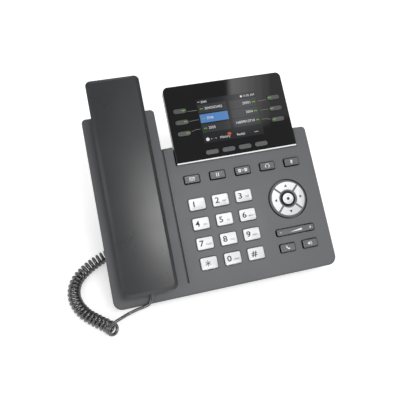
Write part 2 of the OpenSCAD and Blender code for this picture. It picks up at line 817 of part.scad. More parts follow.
module pill_holes() {
    for (p = pill_places) translate([p[0], p[1]])
        plate([pill_width + 2 * key_gap, pill_height + 2 * key_gap], pill_r + key_gap, display_depth, display_proud + eps);
}

module display_bezel() {
    color([0.2, 0.2, 0.21]) face() difference() {
        translate([0, 0, display_back]) linear_extrude(display_depth) display_outline(0);
        // The seat of the lens
        translate([0, 0, lens_seat]) linear_extrude(lens_thickness + eps) display_outline(0.7);
        // The hollow behind the front plate
        translate([0, 0, display_back - eps])
            linear_extrude(display_depth - lens_thickness - display_wall + eps) display_outline(display_wall);
        translate([screen_u, screen_v]) plate([screen_width + 2, screen_height + 2], 0.5, display_depth, display_proud + eps);
        pill_holes();
    }
}

module display_lens() {
    color([0.05, 0.05, 0.06]) face() difference() {
        translate([0, 0, lens_seat]) linear_extrude(lens_thickness) display_outline(0.8);
        pill_holes();
    }
}

module lcd_module() {
    seat = lens_seat - display_wall;
    module_size = [screen_width + 2 * screen_border, screen_height + 1.5 * screen_border];
    face() {
        color("black") translate([screen_u, screen_v]) plate(module_size, 1, screen_thickness, seat);
        // The carrier board with the switches of the line keys and the soft keys
        color("darkgreen") translate([screen_u, display_v + display_height / 2])
            plate([display_width - 2 * display_wall - 1, display_height - 2 * display_wall - 1],
                  display_corner_r - display_wall, 1, seat - screen_thickness + 0.01);
    }
}

module display_cover() {
    cover_wall = 2;
    lip = 1.4;
    start = keypad_height + 0.5;
    height = display_v + display_height - start - 1;
    back = display_back - display_cover_depth;
    color("dimgray") face() difference() {
        union() {
            translate([screen_u, start + height / 2]) drafted([display_width - 1, height], 4, display_back, back, 4);
            // The lip that snaps inside the walls of the frame
            intersection() {
                translate([0, 0, display_back - sink]) linear_extrude(lip + sink) display_outline(display_wall + 0.1);
                translate([display_u, start + 1, display_back - eps]) cube([display_width, height, lip + 2 * eps]);
            }
        }
        translate([screen_u, start + height / 2])
            drafted([display_width - 2 * display_wall - 2 * cover_wall, height - 2 * cover_wall - 2], 3,
                    display_back + lip + eps, back + cover_wall, 4);
    }
}

// ---- Keys ---------------------------------------------------------------------------------------------------------

// The dial keys, left to right and top to bottom
dial_keys = [0:11];
function dial_key_u(k) = dial_u + (k % 3) * dial_pitch_u;
function dial_key_v(k) = dial_v - floor(k / 3) * dial_pitch_v;

// A key: a cap with a softened crown, the collar that keeps it behind the face, and its stem
module key(size, r, crown) {
    shoulder = key_proud - crown;
    plate(size, r, shoulder - collar_top, shoulder);
    drafted(size, r, shoulder, key_proud, crown);
    plate([size[0] + 2 * key_collar, size[1] + 2 * key_collar], r, collar_thickness, collar_top);
    translate([0, 0, stem_end]) cylinder(r = stem_r, h = collar_top - stem_end);
}

module dial_key(k) {
    color("gainsboro") face() translate([dial_key_u(k), dial_key_v(k)])
        key([dial_key_width, dial_key_height], 1.5, 0.5);
}

module function_key(i) {
    color([0.3, 0.3, 0.31]) face() translate([dial_u + i * function_pitch, function_v])
        key([function_key_width, function_key_height], 1, 0.4);
}

module call_row_key(i) {
    color([0.3, 0.3, 0.31]) face() translate([call_u + i * call_pitch, call_v])
        key([function_key_width, function_key_height], 1, 0.4);
}

// A pill-shaped key of the display, held behind the front plate of the frame
module pill_key(place) {
    plate_back = lens_seat - display_wall;
    top = display_proud + pill_proud;
    collar = plate_back - collar_gap;
    color([0.36, 0.36, 0.37]) face() translate([place[0], place[1]]) {
        plate([pill_width, pill_height], pill_r, top - collar, top);
        plate([pill_width + 2 * pill_collar, pill_height + 1], pill_r + 0.4, 0.8, collar);
    }
}

module volume_rocker() {
    flange = 0.9;
    rib_r = 0.8;
    rib_drop = flange + 0.7;
    top = key_proud - 0.3;
    color([0.3, 0.3, 0.31]) face() translate([nav_u, volume_v]) {
        plate([volume_width, volume_height], 1.6, top - volume_flange_top + sink, top);
        plate([volume_width + 2 * rib_r, volume_height + 2 * rib_r], 1.6, flange, volume_flange_top);
        // The rib that it rocks on
        translate([0, 0, volume_flange_top - rib_drop]) {
            rotate([90, 0, 0]) cylinder(r = rib_r, h = volume_height, center = true);
            translate([-rib_r, -volume_height / 2, 0]) cube([2 * rib_r, volume_height, rib_drop - flange + sink]);
        }
    }
}

module ok_key() {
    color("gainsboro") face() translate([nav_u, nav_v]) {
        rotate_extrude() polygon([
            [0, stem_end], [stem_r, stem_end], [stem_r, nav_flange_top - nav_flange],
            [nav_bore_r - 0.6, nav_flange_top - nav_flange],
            [nav_bore_r - 0.6, -1], [ok_r, -0.6], [ok_r, key_proud - 0.7], [ok_r - 0.5, key_proud - 0.2],
            [0, key_proud - 0.5]]);
    }
}

// The ring of four direction keys, divided on its diagonals, with its flange behind the face
module nav_ring() {
    top = key_proud - 0.2;
    color("silver") face() translate([nav_u, nav_v]) difference() {
        rotate_extrude() polygon([
            [nav_bore_r, nav_flange_top - nav_flange], [nav_r + nav_gap + 0.7, nav_flange_top - nav_flange],
            [nav_r + nav_gap + 0.7, nav_flange_top], [nav_r, nav_flange_top], [nav_r, 0.1],
            [nav_key_outer_r, top - nav_step], [nav_key_outer_r, top - 0.1], [nav_key_outer_r - 0.4, top + 0.1],
            [nav_key_inner_r + 0.4, top - 0.3], [nav_key_inner_r, top - 0.5],
            [nav_key_inner_r, top - nav_step - 0.4], [nav_bore_r, top - nav_step - 0.6]]);
        for (a = [45, 135]) rotate(a) for (side = [-1, 1])
            translate([side * (nav_key_inner_r + nav_key_outer_r) / 2, 0, top - nav_step])
                plate([nav_key_outer_r - nav_key_inner_r + 0.6, nav_split], 0.1, nav_step, 2 * nav_step);
    }
}

// The soft collar that the ring rocks on
module nav_rubber() {
    thickness = 0.8;
    top = nav_flange_top - nav_flange - 0.7;
    color("gray") face() translate([nav_u, nav_v, top - thickness]) difference() {
        cylinder(r = nav_bore_r + 3, h = thickness);
        translate([0, 0, -eps]) cylinder(r = nav_bore_r + 0.4, h = thickness + 2 * eps);
    }
}

// The plunger that the handset holds down, with stops that catch under its guide
module hook_switch() {
    top = -pad_sink - 0.3;
    foot = 2 - front_depth - hook_rise - 0.5;
    color([0.25, 0.25, 0.26]) face() translate([cradle_width / 2, hook_place]) {
        drafted([hook_width, hook_length], 1, top - 1.2, top, 1);
        plate([hook_width, hook_length], 1, top - 1.2 - foot, top - 1.2);
        plate([hook_width + 3, hook_length + 3], 1, 1.2, foot);
    }
}

// ---- Handset ------------------------------------------------------------------------------------------------------

cover_draft = 1.2;
grip_draft = 3;
// Local height of the pads' undersides at a distance y along the handset
function pad_z(y) = (-pad_sink - handset_low - y * sin(handset_pitch)) / cos(handset_pitch);

// A slab of the handset's full outline between two heights, made smaller by the given insets
module handset_slab(z_wide, z_narrow, inset_wide, inset_narrow) {
    translate([0, handset_length / 2])
        drafted([handset_width - 2 * inset_wide, handset_length - 2 * inset_wide], handset_corner_r,
                z_wide, z_narrow, inset_narrow - inset_wide);
}

module handset_cover() {
    top_wall = handset_wall;
    color([0.26, 0.26, 0.27]) handset() difference() {
        union() {
            handset_slab(-bevel_depth, 0, 0, bevel_width);
            handset_slab(-bevel_depth, -cover_depth, 0, cover_draft);
        }
        handset_slab(-bevel_depth - 0.5, -top_wall, handset_wall, handset_wall + bevel_width);
        handset_slab(-bevel_depth - 0.4, -cover_depth - eps, handset_wall, handset_wall + cover_draft);
    }
    // The posts that the screws turn into, down to the floor of the grip
    color([0.26, 0.26, 0.27]) handset() for (y = handset_screw_y)
        translate([0, y, handset_wall - grip_depth]) difference() {
            cylinder(r = post_r - 0.4, h = grip_depth - 2 * handset_wall + sink);
            translate([0, 0, -eps]) cylinder(r = screw_r - 0.3, h = 8 + eps);
        }
}

// An earpiece or a mouthpiece, tapering from the grip down to its pad, made smaller by inset
module pad_block(start, length, inset) {
    bottom = pad_z(start + length / 2);
    size = [pad_width - 2 * inset, length - 2 * inset];
    translate([0, start + length / 2]) rotate([-handset_pitch, 0, 0])
        drafted([size[0], size[1]], pad_corner_r - inset / 2, -cover_depth - 2, bottom + inset, pad_taper);
}

module handset_shell() {
    inner = handset_wall;
    color([0.24, 0.24, 0.25]) handset() difference() {
        union() {
            handset_slab(-cover_depth, -grip_depth, cover_draft, cover_draft + grip_draft);
            pad_block(mouth_start, mouth_length, 0);
            pad_block(ear_start, ear_length, 0);
            // The deeper head beyond the earpiece
            translate([0, (ear_start + ear_length + handset_length) / 2 - 5])
                drafted([handset_width - 2 * cover_draft - 2 * grip_draft, handset_length - ear_start - ear_length - 4],
                        handset_corner_r, -grip_depth + 1.5, -grip_depth - 3, 2.5);
        }
        handset_slab(-cover_depth + eps, -grip_depth + inner, cover_draft + inner - 0.4, cover_draft + grip_draft + inner - 0.6);
        pad_block(mouth_start, mouth_length, inner);
        pad_block(ear_start, ear_length, inner);
        // The sound holes of the earpiece, and the slots of the mouthpiece
        translate([0, ear_start + ear_length / 2, pad_z(ear_start + ear_length / 2) - eps]) {
            cylinder(r = 1.2, h = 6);
            for (a = [0:60:300]) rotate(a) translate([5, 0]) cylinder(r = 1.2, h = 6);
        }
        for (x = [-6, 0, 6]) translate([x, mouth_start + mouth_length / 2, pad_z(mouth_start + mouth_length / 2)])
            plate([1.6, 8], 0.75, 6 + eps, 5);
        // The window of the cord socket in the lower end
        translate([handset_jack_x - handset_jack_width / 2 - 0.2, -eps, handset_jack_z - handset_jack_height / 2 - 0.2]) cube([handset_jack_width + 0.4, mouth_start + 6, handset_jack_height + 0.4]);
        // The screw holes in the grip
        for (y = handset_screw_y) translate([0, y, -grip_depth - eps]) {
            cylinder(r = screw_r + 0.2, h = 8);
            cylinder(r = screw_head_r + 0.2, h = handset_screw_seat + eps);
        }
    }
}

// The jack in the lower end of the handset
handset_jack_x = 1;
handset_jack_z = handset_jack_rise + handset_jack_height / 2 - handset_low;
handset_jack_y = 3.2;
handset_screw_y = [mouth_start + mouth_length + 18, ear_start - 18];
// Depth of the screws' seats in the floor of the grip
handset_screw_seat = 1.2;

module handset_jack() {
    color("black") handset() difference() {
        translate([handset_jack_x - handset_jack_width / 2, handset_jack_y, handset_jack_z - handset_jack_height / 2])
            cube([handset_jack_width, handset_jack_length, handset_jack_height]);
        translate([handset_jack_x - cord_socket_width / 2, handset_jack_y - eps, handset_jack_z - cord_socket_height / 2])
            cube([cord_socket_width, socket_depth + eps, cord_socket_height]);
        translate([handset_jack_x - 1.7, handset_jack_y - eps, handset_jack_z - cord_socket_height / 2 - 1.2])
            cube([3.4, socket_depth - 3 + eps, 2]);
    }
}

module handset_screws() {
    color("silver") handset() for (y = handset_screw_y) translate([0, y, handset_screw_seat - grip_depth]) {
        cylinder(r = screw_r - 0.35, h = handset_screw_length);
        translate([0, 0, -handset_screw_head]) difference() {
            cylinder(r = screw_head_r - 0.1, h = handset_screw_head);
            for (a = [0, 90]) rotate(a) translate([-1.4, -0.35, -eps]) cube([2.8, 0.7, 0.5 + eps]);
        }
    }
}

module ear_receiver() {
    color("silver") handset() translate([0, ear_start + ear_length / 2, pad_z(ear_start + ear_length / 2) + handset_wall + 0.6])
        rotate([-handset_pitch, 0, 0]) rotate_extrude() polygon([
            [0, 0.6], [4, 0.6], [5, 0], [receiver_r, 0], [receiver_r, receiver_depth / 2], [magnet_r, receiver_depth - 1.8],
            [magnet_r, receiver_depth], [0, receiver_depth]]);
}

module microphone() {
    color("silver") handset() translate([0, mouth_start + mouth_length / 2 + 6, pad_z(mouth_start + mouth_length / 2) + handset_wall + 0.8])
        cylinder(r = microphone_r, h = microphone_depth);
}

// ---- Cord ---------------------------------------------------------------------------------------------------------

// A modular plug in a socket: its body, its latch and the sleeve that holds the cord
plug_width = cord_socket_width - 2 * plug_gap;
plug_height = cord_socket_height - 2 * plug_gap;
plug_tail = 3;
module plug() {
    translate([-plug_tail, -plug_width / 2, -plug_height / 2]) cube([plug_tail + socket_depth - 1, plug_width, plug_height]);
    translate([-plug_tail + 1, -1.4, -plug_height / 2 - 0.9]) cube([plug_tail + 5, 2.8, 1]);
}

module handset_plug() {
    color([0.15, 0.15, 0.16]) handset() translate([handset_jack_x, handset_jack_y, handset_jack_z])
        rotate([0, 0, 90]) plug();
}

base_plug_v = cord_jack_v + cord_jack_pitch / 2;
module base_plug() {
    color([0.15, 0.15, 0.16]) face() translate([bay_width + 0.2, base_plug_v, cord_socket_w]) plug();
}

// Route of the coil's middle over the desk, with its lift, from its raised front end round to its end under the base
coil_route = [[-108.6, -90.5, 3.4], [-110.7, -87.4, 0.9], [-113.8, -83.6, 0.1], [-120, -78.5, 0], [-132, -67, 0],
              [-139, -54, 0], [-140.5, -42, 0], [-137, -30, 0], [-128, -20, 0], [-116, -12, 0], [-104, -7, 0],
              [-91, -5, 0], [-78, -8, 0], [-67, -16, 0], [-60, -28, 0]];
// Route of the straight stretch in front, from the handset's plug down to the coil
front_route = [[-71.4, -79.2, 29.5], [-72.9, -81.2, 27.2], [-75.2, -82.7, 25.6], [-79.4, -83.1, 24],
               [-84.5, -83.2, 22.6], [-90, -83.5, 20.6], [-95.3, -84.2, 18.9], [-100.5, -85.4, 17.2]];
// Route of the straight stretch behind, from the coil up to the plug in the cable bay
rear_route = [[-58, -31.5, 11], [-57, -36, 13.5], [-56.4, -41, 18], [-56, -44, 22], [-54.5, -45, 25.5]];

// A point on a smooth curve through points a, b, c and d, between b and c
function blend(a, b, c, d, t) = 0.5 * (2 * b + (c - a) * t + (2 * a - 5 * b + 4 * c - d) * t * t
                                       + (3 * b - a - 3 * c + d) * t * t * t);
function curve(points, steps) = let (n = len(points)) [
    for (i = [0:n - 2], s = [0:steps - 1])
        blend(points[max(i - 1, 0)], points[i], points[i + 1], points[min(i + 2, n - 1)], s / steps),
    points[n - 1]];
function unit(a) = a / norm(a);
function heading(path, i) = unit(path[min(i + 1, len(path) - 1)] - path[max(i - 1, 0)]);

// A tube swept along a path, with a level side vector at every ring
module tube(path, r, sides) {
    n = len(path);
    points = [for (i = [0:n - 1])
        let (t = heading(path, i), side = unit(cross(t, [0.001, 0, 1])), up = cross(side, t))
            for (k = [0:sides - 1])
                path[i] + r * (cos(360 * k / sides) * side + sin(360 * k / sides) * up)];
    walls = [for (i = [0:n - 2], k = [0:sides - 1])
        [i * sides + k, (i + 1) * sides + k, (i + 1) * sides + (k + 1) % sides, i * sides + (k + 1) % sides]];
    polyhedron(points, concat([[for (k = [0:sides - 1]) k]], walls,
                              [[for (k = [sides - 1:-1:0]) (n - 1) * sides + k]]));
}

coil_r = coil_diameter / 2;
wind_r = coil_r - cord_diameter / 2;
coil_path = [for (p = curve(coil_route, 3)) p + [0, 0, coil_r]];
// The way into the coil's front end, and the way across it
front_in = heading(coil_path, 0);
front_side = unit(cross(front_in, [0, 0, 1]));
// Where the cord leaves each end of the coil: across the rim in front, and at the rim behind
front_rim = coil_path[0] + wind_r * cross(front_side, front_in) - (cord_diameter / 2 - sink / 2) * front_in;
coil_front = [front_rim + coil_r * front_side, front_rim];
coil_rear = coil_path[len(coil_path) - 1] + [0, 0, wind_r];
handset_tail = face_point(handset_point([handset_jack_x, handset_jack_y - plug_tail, handset_jack_z]));
handset_out = face_point(handset_point([handset_jack_x, handset_jack_y - plug_tail - 1, handset_jack_z]));
base_tail = face_point([bay_width + 0.2 - plug_tail, base_plug_v, cord_socket_w]);

module cord_coil() {
    color([0.15, 0.15, 0.16]) tube(coil_path, coil_r, 12);
}

module handset_lead() {
    color([0.15, 0.15, 0.16]) tube(concat([handset_tail, handset_out], curve(front_route, 2), coil_front), cord_diameter / 2, 8);
}

module base_lead() {
    color([0.15, 0.15, 0.16]) tube(concat([coil_rear], curve(rear_route, 2), [base_tail - [1, 0, 0], base_tail]), cord_diameter / 2, 8);
}

// ---- Stand --------------------------------------------------------------------------------------------------------

// Corners of the stand's side in the plane across the phone: y back from the lower edge of the face, and z up
function behind(v, lift) = [v * cos(tilt) + (body_depth + lift) * sin(tilt), face_z(v, -body_depth - lift)];
stand_side = [behind(stand_start, 0), behind(stand_end, 0), [stand_reach, foot_thickness + 14],
              [stand_reach, foot_thickness], [stand_reach - stand_foot, foot_thickness],
              [stand_reach - stand_foot, foot_thickness + 6], behind(stand_start, 8)];
// How far the stand's hollow runs past its open front
hollow_over = 2 * stand_foot / 3;
stand_inside = [behind(stand_start - hollow_over, -5), behind(stand_end - 2 * stand_wall, stand_wall),
                [stand_reach - stand_wall, foot_thickness + 14 - stand_wall / 2],
                [stand_reach - stand_wall, foot_thickness + stand_wall],
                [stand_reach - stand_foot - hollow_over, foot_thickness + stand_wall],
                behind(stand_start - hollow_over, 2 * hollow_over)];

// A profile in the plane across the phone, extruded over a width from x
module across(profile, x, width) {
    translate([x, -depth_centre, 0]) rotate([90, 0, 90]) linear_extrude(width) polygon(profile);
}

module stand() {
    left = -stand_width / 2;
    color([0.28, 0.28, 0.29]) {
        difference() {
            across(stand_side, left, stand_width);
            // Hollow between the cheeks, and open towards the front
            across(stand_inside, left + stand_wall, stand_width - 2 * stand_wall);
            // The cable window in the back
            translate([0, stand_reach - depth_centre, foot_thickness + window_rise]) rotate([90, 0, 0])
                linear_extrude(4 * stand_foot, center = true)
                    rounded_rect([stand_width - 2 * window_margin, window_height], 6);
        }
        for (x = [-1, 1]) across(stand_side_rib(), x * (stand_width / 2 - rib_margin) - stand_wall / 2, stand_wall);
        for (side = [-1, 1]) hook(side);
    }
}

// The rib inside each cheek, from the top plate to the foot
function stand_side_rib() = [behind(stand_end - 8, 0), behind(stand_end - 1, 0),
                             [stand_reach - 1, foot_thickness + 13], [stand_reach - 1, foot_thickness + 1],
                             [stand_reach - 6, foot_thickness + 1]];

// A hook that reaches through its slot and turns up behind the housing's wall
hook_u = stand_width / 2 - hook_side;
hook_v = stand_end - 9;
hook_bar = 1.4;
module hook(side) {
    reach = rear_wall + board_clear + hook_bar;
    face() translate([body_width / 2 + side * hook_u - stand_hook_width / 2, hook_v, -body_depth - sink]) {
        cube([stand_hook_width, 2.4, reach + sink]);
        translate([0, 0, reach - hook_bar + sink]) cube([stand_hook_width, 4.6, hook_bar]);
    }
}

// The slot that a hook of the stand goes through, and the second slot for the lower setting
module hook_slot(side) {
    for (v = [hook_v, hook_v - 22])
        translate([body_width / 2 + side * hook_u - stand_hook_width / 2 - 0.4, v - 3.6, -body_depth - eps])
            cube([stand_hook_width + 0.8, 6.4, rear_wall + 2 * eps]);
}

module rubber_feet() {
    y_front = face_y(back_draft + 1, -body_depth) + foot_r + 1;
    color([0.1, 0.1, 0.1]) {
        for (x = [-1, 1]) translate([x * (body_width / 2 - foot_margin - foot_r - foot_rim), y_front, 0])
            cylinder(r = foot_r, h = foot_thickness);
        for (x = [-1, 1]) translate([x * (stand_width / 2 - foot_r - foot_rim), stand_reach - depth_centre - stand_foot / 2, 0])
            cylinder(r = foot_r, h = foot_thickness);
    }
}

// ---- The whole phone ----------------------------------------------------------------------------------------------

front_housing();
rear_housing();
display_bezel();
display_lens();
display_cover();
lcd_module();
main_board();
key_mat();
loudspeaker();
network_jacks();
cord_jacks();
power_jack();
housing_screws();
stand();
rubber_feet();
dial_key(0);  // key_1
dial_key(1);  // key_2
dial_key(2);  // key_3
dial_key(3);  // key_4
dial_key(4);  // key_5
dial_key(5);  // key_6
dial_key(6);  // key_7
dial_key(7);  // key_8
dial_key(8);  // key_9
dial_key(9);  // key_star
dial_key(10);  // key_0
dial_key(11);  // key_hash
function_key(0);  // message_key
function_key(1);  // hold_key
function_key(2);  // transfer_key
function_key(3);  // headset_key
function_key(4);  // conference_key
pill_key(line_place(1));  // line_key_1
pill_key(line_place(2));  // line_key_2
pill_key(line_place(3));  // line_key_3
pill_key(line_place(4));  // line_key_4
pill_key(line_place(5));  // line_key_5
pill_key(line_place(6));  // line_key_6
pill_key(soft_place(1));  // soft_key_1
pill_key(soft_place(2));  // soft_key_2
pill_key(soft_place(3));  // soft_key_3
pill_key(soft_place(4));  // soft_key_4
call_row_key(0);  // call_key
call_row_key(1);  // speaker_key
volume_rocker();
ok_key();
nav_ring();
nav_rubber();
hook_switch();
handset_cover();
handset_shell();
ear_receiver();
microphone();
handset_jack();
handset_screws();
handset_plug();
cord_coil();
handset_lead();
base_lead();
base_plug();
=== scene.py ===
"""Visual model of a desk telephone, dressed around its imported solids.

The base stands at a tilt on its prop. Its face frame has u across, v up the face and w out of it, in
millimetres from the lower left corner. Pieces are shaped in that frame, or in the handset's own, and are
then placed in metres.
"""

import logging
import math
from dataclasses import dataclass, field
from enum import Enum
from typing import Any, Callable, Iterable, Sequence

import bpy
from mathutils import Matrix, Vector

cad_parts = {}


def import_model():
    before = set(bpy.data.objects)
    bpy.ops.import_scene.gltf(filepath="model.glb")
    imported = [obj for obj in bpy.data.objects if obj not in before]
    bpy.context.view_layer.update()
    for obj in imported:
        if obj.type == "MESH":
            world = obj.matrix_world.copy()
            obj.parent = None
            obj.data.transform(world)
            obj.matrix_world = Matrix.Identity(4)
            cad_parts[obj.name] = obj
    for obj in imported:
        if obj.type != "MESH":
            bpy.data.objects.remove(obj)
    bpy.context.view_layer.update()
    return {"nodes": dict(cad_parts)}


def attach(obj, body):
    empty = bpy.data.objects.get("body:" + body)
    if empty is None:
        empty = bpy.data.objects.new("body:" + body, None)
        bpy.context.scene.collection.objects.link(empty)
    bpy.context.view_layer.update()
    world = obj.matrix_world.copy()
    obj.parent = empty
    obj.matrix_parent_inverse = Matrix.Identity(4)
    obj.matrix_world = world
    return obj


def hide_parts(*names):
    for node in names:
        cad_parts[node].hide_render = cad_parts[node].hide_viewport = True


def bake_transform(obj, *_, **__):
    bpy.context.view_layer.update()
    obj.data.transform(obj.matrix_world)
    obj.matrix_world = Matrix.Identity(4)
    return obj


LOG = logging.getLogger("phone")
MM = 0.001
FACING = 0.9  # least part of its normal that a face has along the way it looks
HAIR = 0.01  # slack in tests of a place, in millimetres
RIM_SLACK = 0.12  # slack in the test of a cap's outline, in millimetres
MARK_LEVEL = 4  # layer of the figures and the marks on the screen

Point = tuple[float, float, float]
Flat = tuple[float, float]
Loops = list[list[Flat]]
Colour = tuple[float, float, float, float]
Test = Callable[[Vector, Vector], bool]


def srgb(red: float, green: float, blue: float) -> Colour:
    """Turns display values from 0 to 255 into a linear colour.

    Args:
        red: The red value.
        green: The green value.
        blue: The blue value.

    Returns:
        The linear colour, with an alpha of 1.
    """
    def linear(value: float) -> float:
        """Returns one channel in linear light."""
        part = value / 255
        return part / 12.92 if part <= 0.04045 else ((part + 0.055) / 1.055) ** 2.4

    return linear(red), linear(green), linear(blue), 1.0


def toned(colour: Colour, factor: float) -> Colour:
    """Returns a colour made darker or lighter by a factor."""
    return (*(part * factor for part in colour[:3]), 1.0)


def link(name: str, data: bpy.types.ID) -> bpy.types.Object:
    """Adds an object to the scene.

    Args:
        name: The object's name.
        data: Its mesh, curve, camera or lamp.

    Returns:
        The object.
    """
    obj = bpy.data.objects.new(name, data)
    bpy.context.scene.collection.objects.link(obj)
    return obj


# ---- Frames -----------------------------------------------------------------------------------------------------


@dataclass(frozen=True)
class FaceFrame:
    """The tilted face of the phone, and the handset's frame upon it."""

    tilt: float = math.radians(34)
    origin: Point = (-105.0, -81.01669, 22.49867)
    handset_at: Point = (33.75, 9.3, 24.2)
    handset_pitch: float = math.asin((29 - 24.2) / 190.2)

    def matrix(self) -> Matrix:
        """Returns the matrix from the face frame, in millimetres, to metres."""
        place = Matrix.Translation([part * MM for part in self.origin])
        return place @ Matrix.Rotation(self.tilt, 4, "X") @ Matrix.Scale(MM, 4)

    def handset(self) -> Matrix:
        """Returns the matrix from the handset's frame, in millimetres, to metres."""
        return self.matrix() @ Matrix.Translation(self.handset_at) @ Matrix.Rotation(self.handset_pitch, 4, "X")


FACE = FaceFrame()
WORLD_MM = Matrix.Scale(MM, 4)


# ---- Shader maths -----------------------------------------------------------------------------------------------


class Value:
    """A number that a node socket carries, with Python's arithmetic."""

    def __init__(self, graph: "Graph", socket: bpy.types.NodeSocket) -> None:
        """Keeps the socket and the graph that it belongs to."""
        self.graph = graph
        self.socket = socket

    def math(self, operation: str, *others: Any, clamp: bool = False) -> "Value":
        """Adds a Math node.

        Args:
            operation: The node's operation.
            others: The values that follow this one, in order.
            clamp: Whether the result is kept between 0 and 1.

        Returns:
            The result.
        """
        settings = {"operation": operation, "use_clamp": clamp}
        node = self.graph.node("ShaderNodeMath", self, *others, settings=settings)
        return Value(self.graph, node.outputs[0])

    def __add__(self, other: Any) -> "Value":
        """Adds."""
        return self.math("ADD", other)

    __radd__ = __add__

    def __mul__(self, other: Any) -> "Value":
        """Multiplies."""
        return self.math("MULTIPLY", other)

    __rmul__ = __mul__

    def __sub__(self, other: Any) -> "Value":
        """Subtracts."""
        return self.math("SUBTRACT", other)

    def __rsub__(self, other: float) -> "Value":
        """Subtracts this value from a number."""
        return (self * -1.0) + other

    def __pow__(self, other: float) -> "Value":
        """Raises to a power."""
        return self.math("POWER", other)

    def clamped(self) -> "Value":
        """Returns the value kept between 0 and 1."""
        return self.math("ADD", 0.0, clamp=True)

    def wave(self) -> "Value":
        """Returns the sine of the value, which is in radians."""
        return self.math("SINE")


class Graph:
    """The node graph of a material or of the world."""

    def __init__(self, owner: bpy.types.Material | bpy.types.World) -> None:
        """Empties the owner's node tree.

        Args:
            owner: The new material or world.
        """
        self.owner = owner
        owner.use_nodes = True
        self.tree = owner.node_tree
        self.tree.nodes.clear()

    @classmethod
    def material(cls, name: str) -> "Graph":
        """Starts an empty material."""
        return cls(bpy.data.materials.new(name))

    def node(self, kind: str, *values: Any, settings: dict[str, Any] | None = None, **inputs: Any) -> bpy.types.Node:
        """Adds a node.

        Args:
            kind: The node's type.
            values: Values or links of its first sockets, in order.
            settings: The settings that are made before the sockets are fed.
            inputs: Values or links of other sockets, by name with _ for a space.

        Returns:
            The node.
        """
        node = self.tree.nodes.new(kind)
        for key, setting in (settings or {}).items():
            setattr(node, key, setting)
        for socket, value in zip(node.inputs, values):
            self.feed(socket, value)
        for key, value in inputs.items():
            self.feed(node.inputs[key.replace("_", " ")], value)
        return node

    def feed(self, socket: bpy.types.NodeSocket, value: Any) -> None:
        """Links a socket to a value, or sets it.

        Args:
            socket: The socket.
            value: A Value, an output socket or a constant.
        """
        if isinstance(value, Value):
            self.tree.links.new(value.socket, socket)
        elif isinstance(value, bpy.types.NodeSocket):
            self.tree.links.new(value, socket)
        else:
            socket.default_value = value

    def coordinates(self, output: str = "Object") -> bpy.types.NodeSocket:
        """Returns texture coordinates."""
        return self.node("ShaderNodeTexCoord").outputs[output]

    def noise(self, size: float, detail: float, stretch: Point = (1, 1, 1)) -> Value:
        """Adds a noise on the object's own coordinates.

        Args:
            size: Size of its features, in metres.
            detail: Octaves.
            stretch: Factors on the three coordinates.

        Returns:
            The noise, about 0.5.
        """
        mapping = self.node("ShaderNodeMapping", Vector=self.coordinates(), Scale=stretch)
        noise = self.node("ShaderNodeTexNoise", Vector=mapping.outputs[0], Scale=1 / size, Detail=detail)
        return Value(self, noise.outputs["Fac"])

    def axis(self, index: int, output: str = "Object") -> Value:
        """Returns one coordinate."""
        split = self.node("ShaderNodeSeparateXYZ", Vector=self.coordinates(output))
        return Value(self, split.outputs[index])

    def blend(self, factor: Any, first: Any, second: Any) -> bpy.types.NodeSocket:
        """Mixes two colours.

        Args:
            factor: The share of the second.
            first: The first colour.
            second: The second colour.

        Returns:
            The mixed colour.
        """
        mix = self.node("ShaderNodeMix", factor, settings={"data_type": "RGBA"})
        self.feed(mix.inputs[6], first)
        self.feed(mix.inputs[7], second)
        return mix.outputs[2]

    def bump(self, height: Value, depth: float, strength: float) -> bpy.types.NodeSocket:
        """Turns a height into a normal."""
        return self.node("ShaderNodeBump", Height=height, Distance=depth, Strength=strength).outputs[0]

    def finish(self, **sockets: Any) -> bpy.types.Material:
        """Ends the graph in a Principled shader.

        Args:
            sockets: Its sockets, by name with _ for a space.

        Returns:
            The material.
        """
        shader = self.node("ShaderNodeBsdfPrincipled", **sockets)
        self.node("ShaderNodeOutputMaterial", shader.outputs[0])
        return self.owner


# ---- Finishes ---------------------------------------------------------------------------------------------------


@dataclass(frozen=True)
class Surface:
    """What every finish has.

    Attributes:
        name: The material's name.
        colour: Its colour.
    """

    name: str
    colour: Colour

    def build(self) -> bpy.types.Material:
        """Returns the material."""
        raise NotImplementedError


@dataclass(frozen=True)
class MouldedPlastic(Surface):
    """Moulded plastic with a fine spark-eroded grain.

    Attributes:
        roughness: Its mean roughness.
        grain: Size of the grain, in metres.
        relief: Depth of the grain, in metres.
        mottle: How far the colour varies.
        specular: Strength of its gloss.
    """

    roughness: float = 0.42
    grain: float = 0.0006
    relief: float = 0.00002
    mottle: float = 0.06
    specular: float = 0.5

    def build(self) -> bpy.types.Material:
        """Returns the material."""
        graph = Graph.material(self.name)
        fine = graph.noise(self.grain, 3)
        broad = graph.noise(0.03, 2)
        mixture = (fine * 0.6 + broad * 0.4).clamped()
        return graph.finish(
            Base_Color=graph.blend(mixture, toned(self.colour, 1 - self.mottle), toned(self.colour, 1 + self.mottle)),
            Roughness=broad * 0.12 + fine * 0.06 + (self.roughness - 0.09),
            Normal=graph.bump(fine, self.relief, 0.5),
            Specular_IOR_Level=self.specular,
        )


@dataclass(frozen=True)
class PaintedKey(Surface):
    """Silver paint under a clear coat, with painted shade that darkens each cap towards its lower right corner.

    Attributes:
        shade: The colour of the painted shade in the lower right corner.
    """

    shade: Colour

    def build(self) -> bpy.types.Material:
        """Returns the material."""
        graph = Graph.material(self.name)
        flakes = graph.noise(0.00018, 2)
        # Painted shade: each cap darkens towards its lower right corner.
        painted_shade_slope = (graph.axis(0, "UV") * 0.55 + (1.0 - graph.axis(1, "UV")) * 0.45 + flakes * 0.12 - 0.06).clamped()
        return graph.finish(
            Base_Color=graph.blend(painted_shade_slope ** 1.4, self.colour, self.shade),
            Roughness=flakes * 0.1 + 0.3,
            Normal=graph.bump(flakes, 0.000008, 0.4),
            Coat_Weight=0.3,
            Coat_Roughness=0.15,
        )


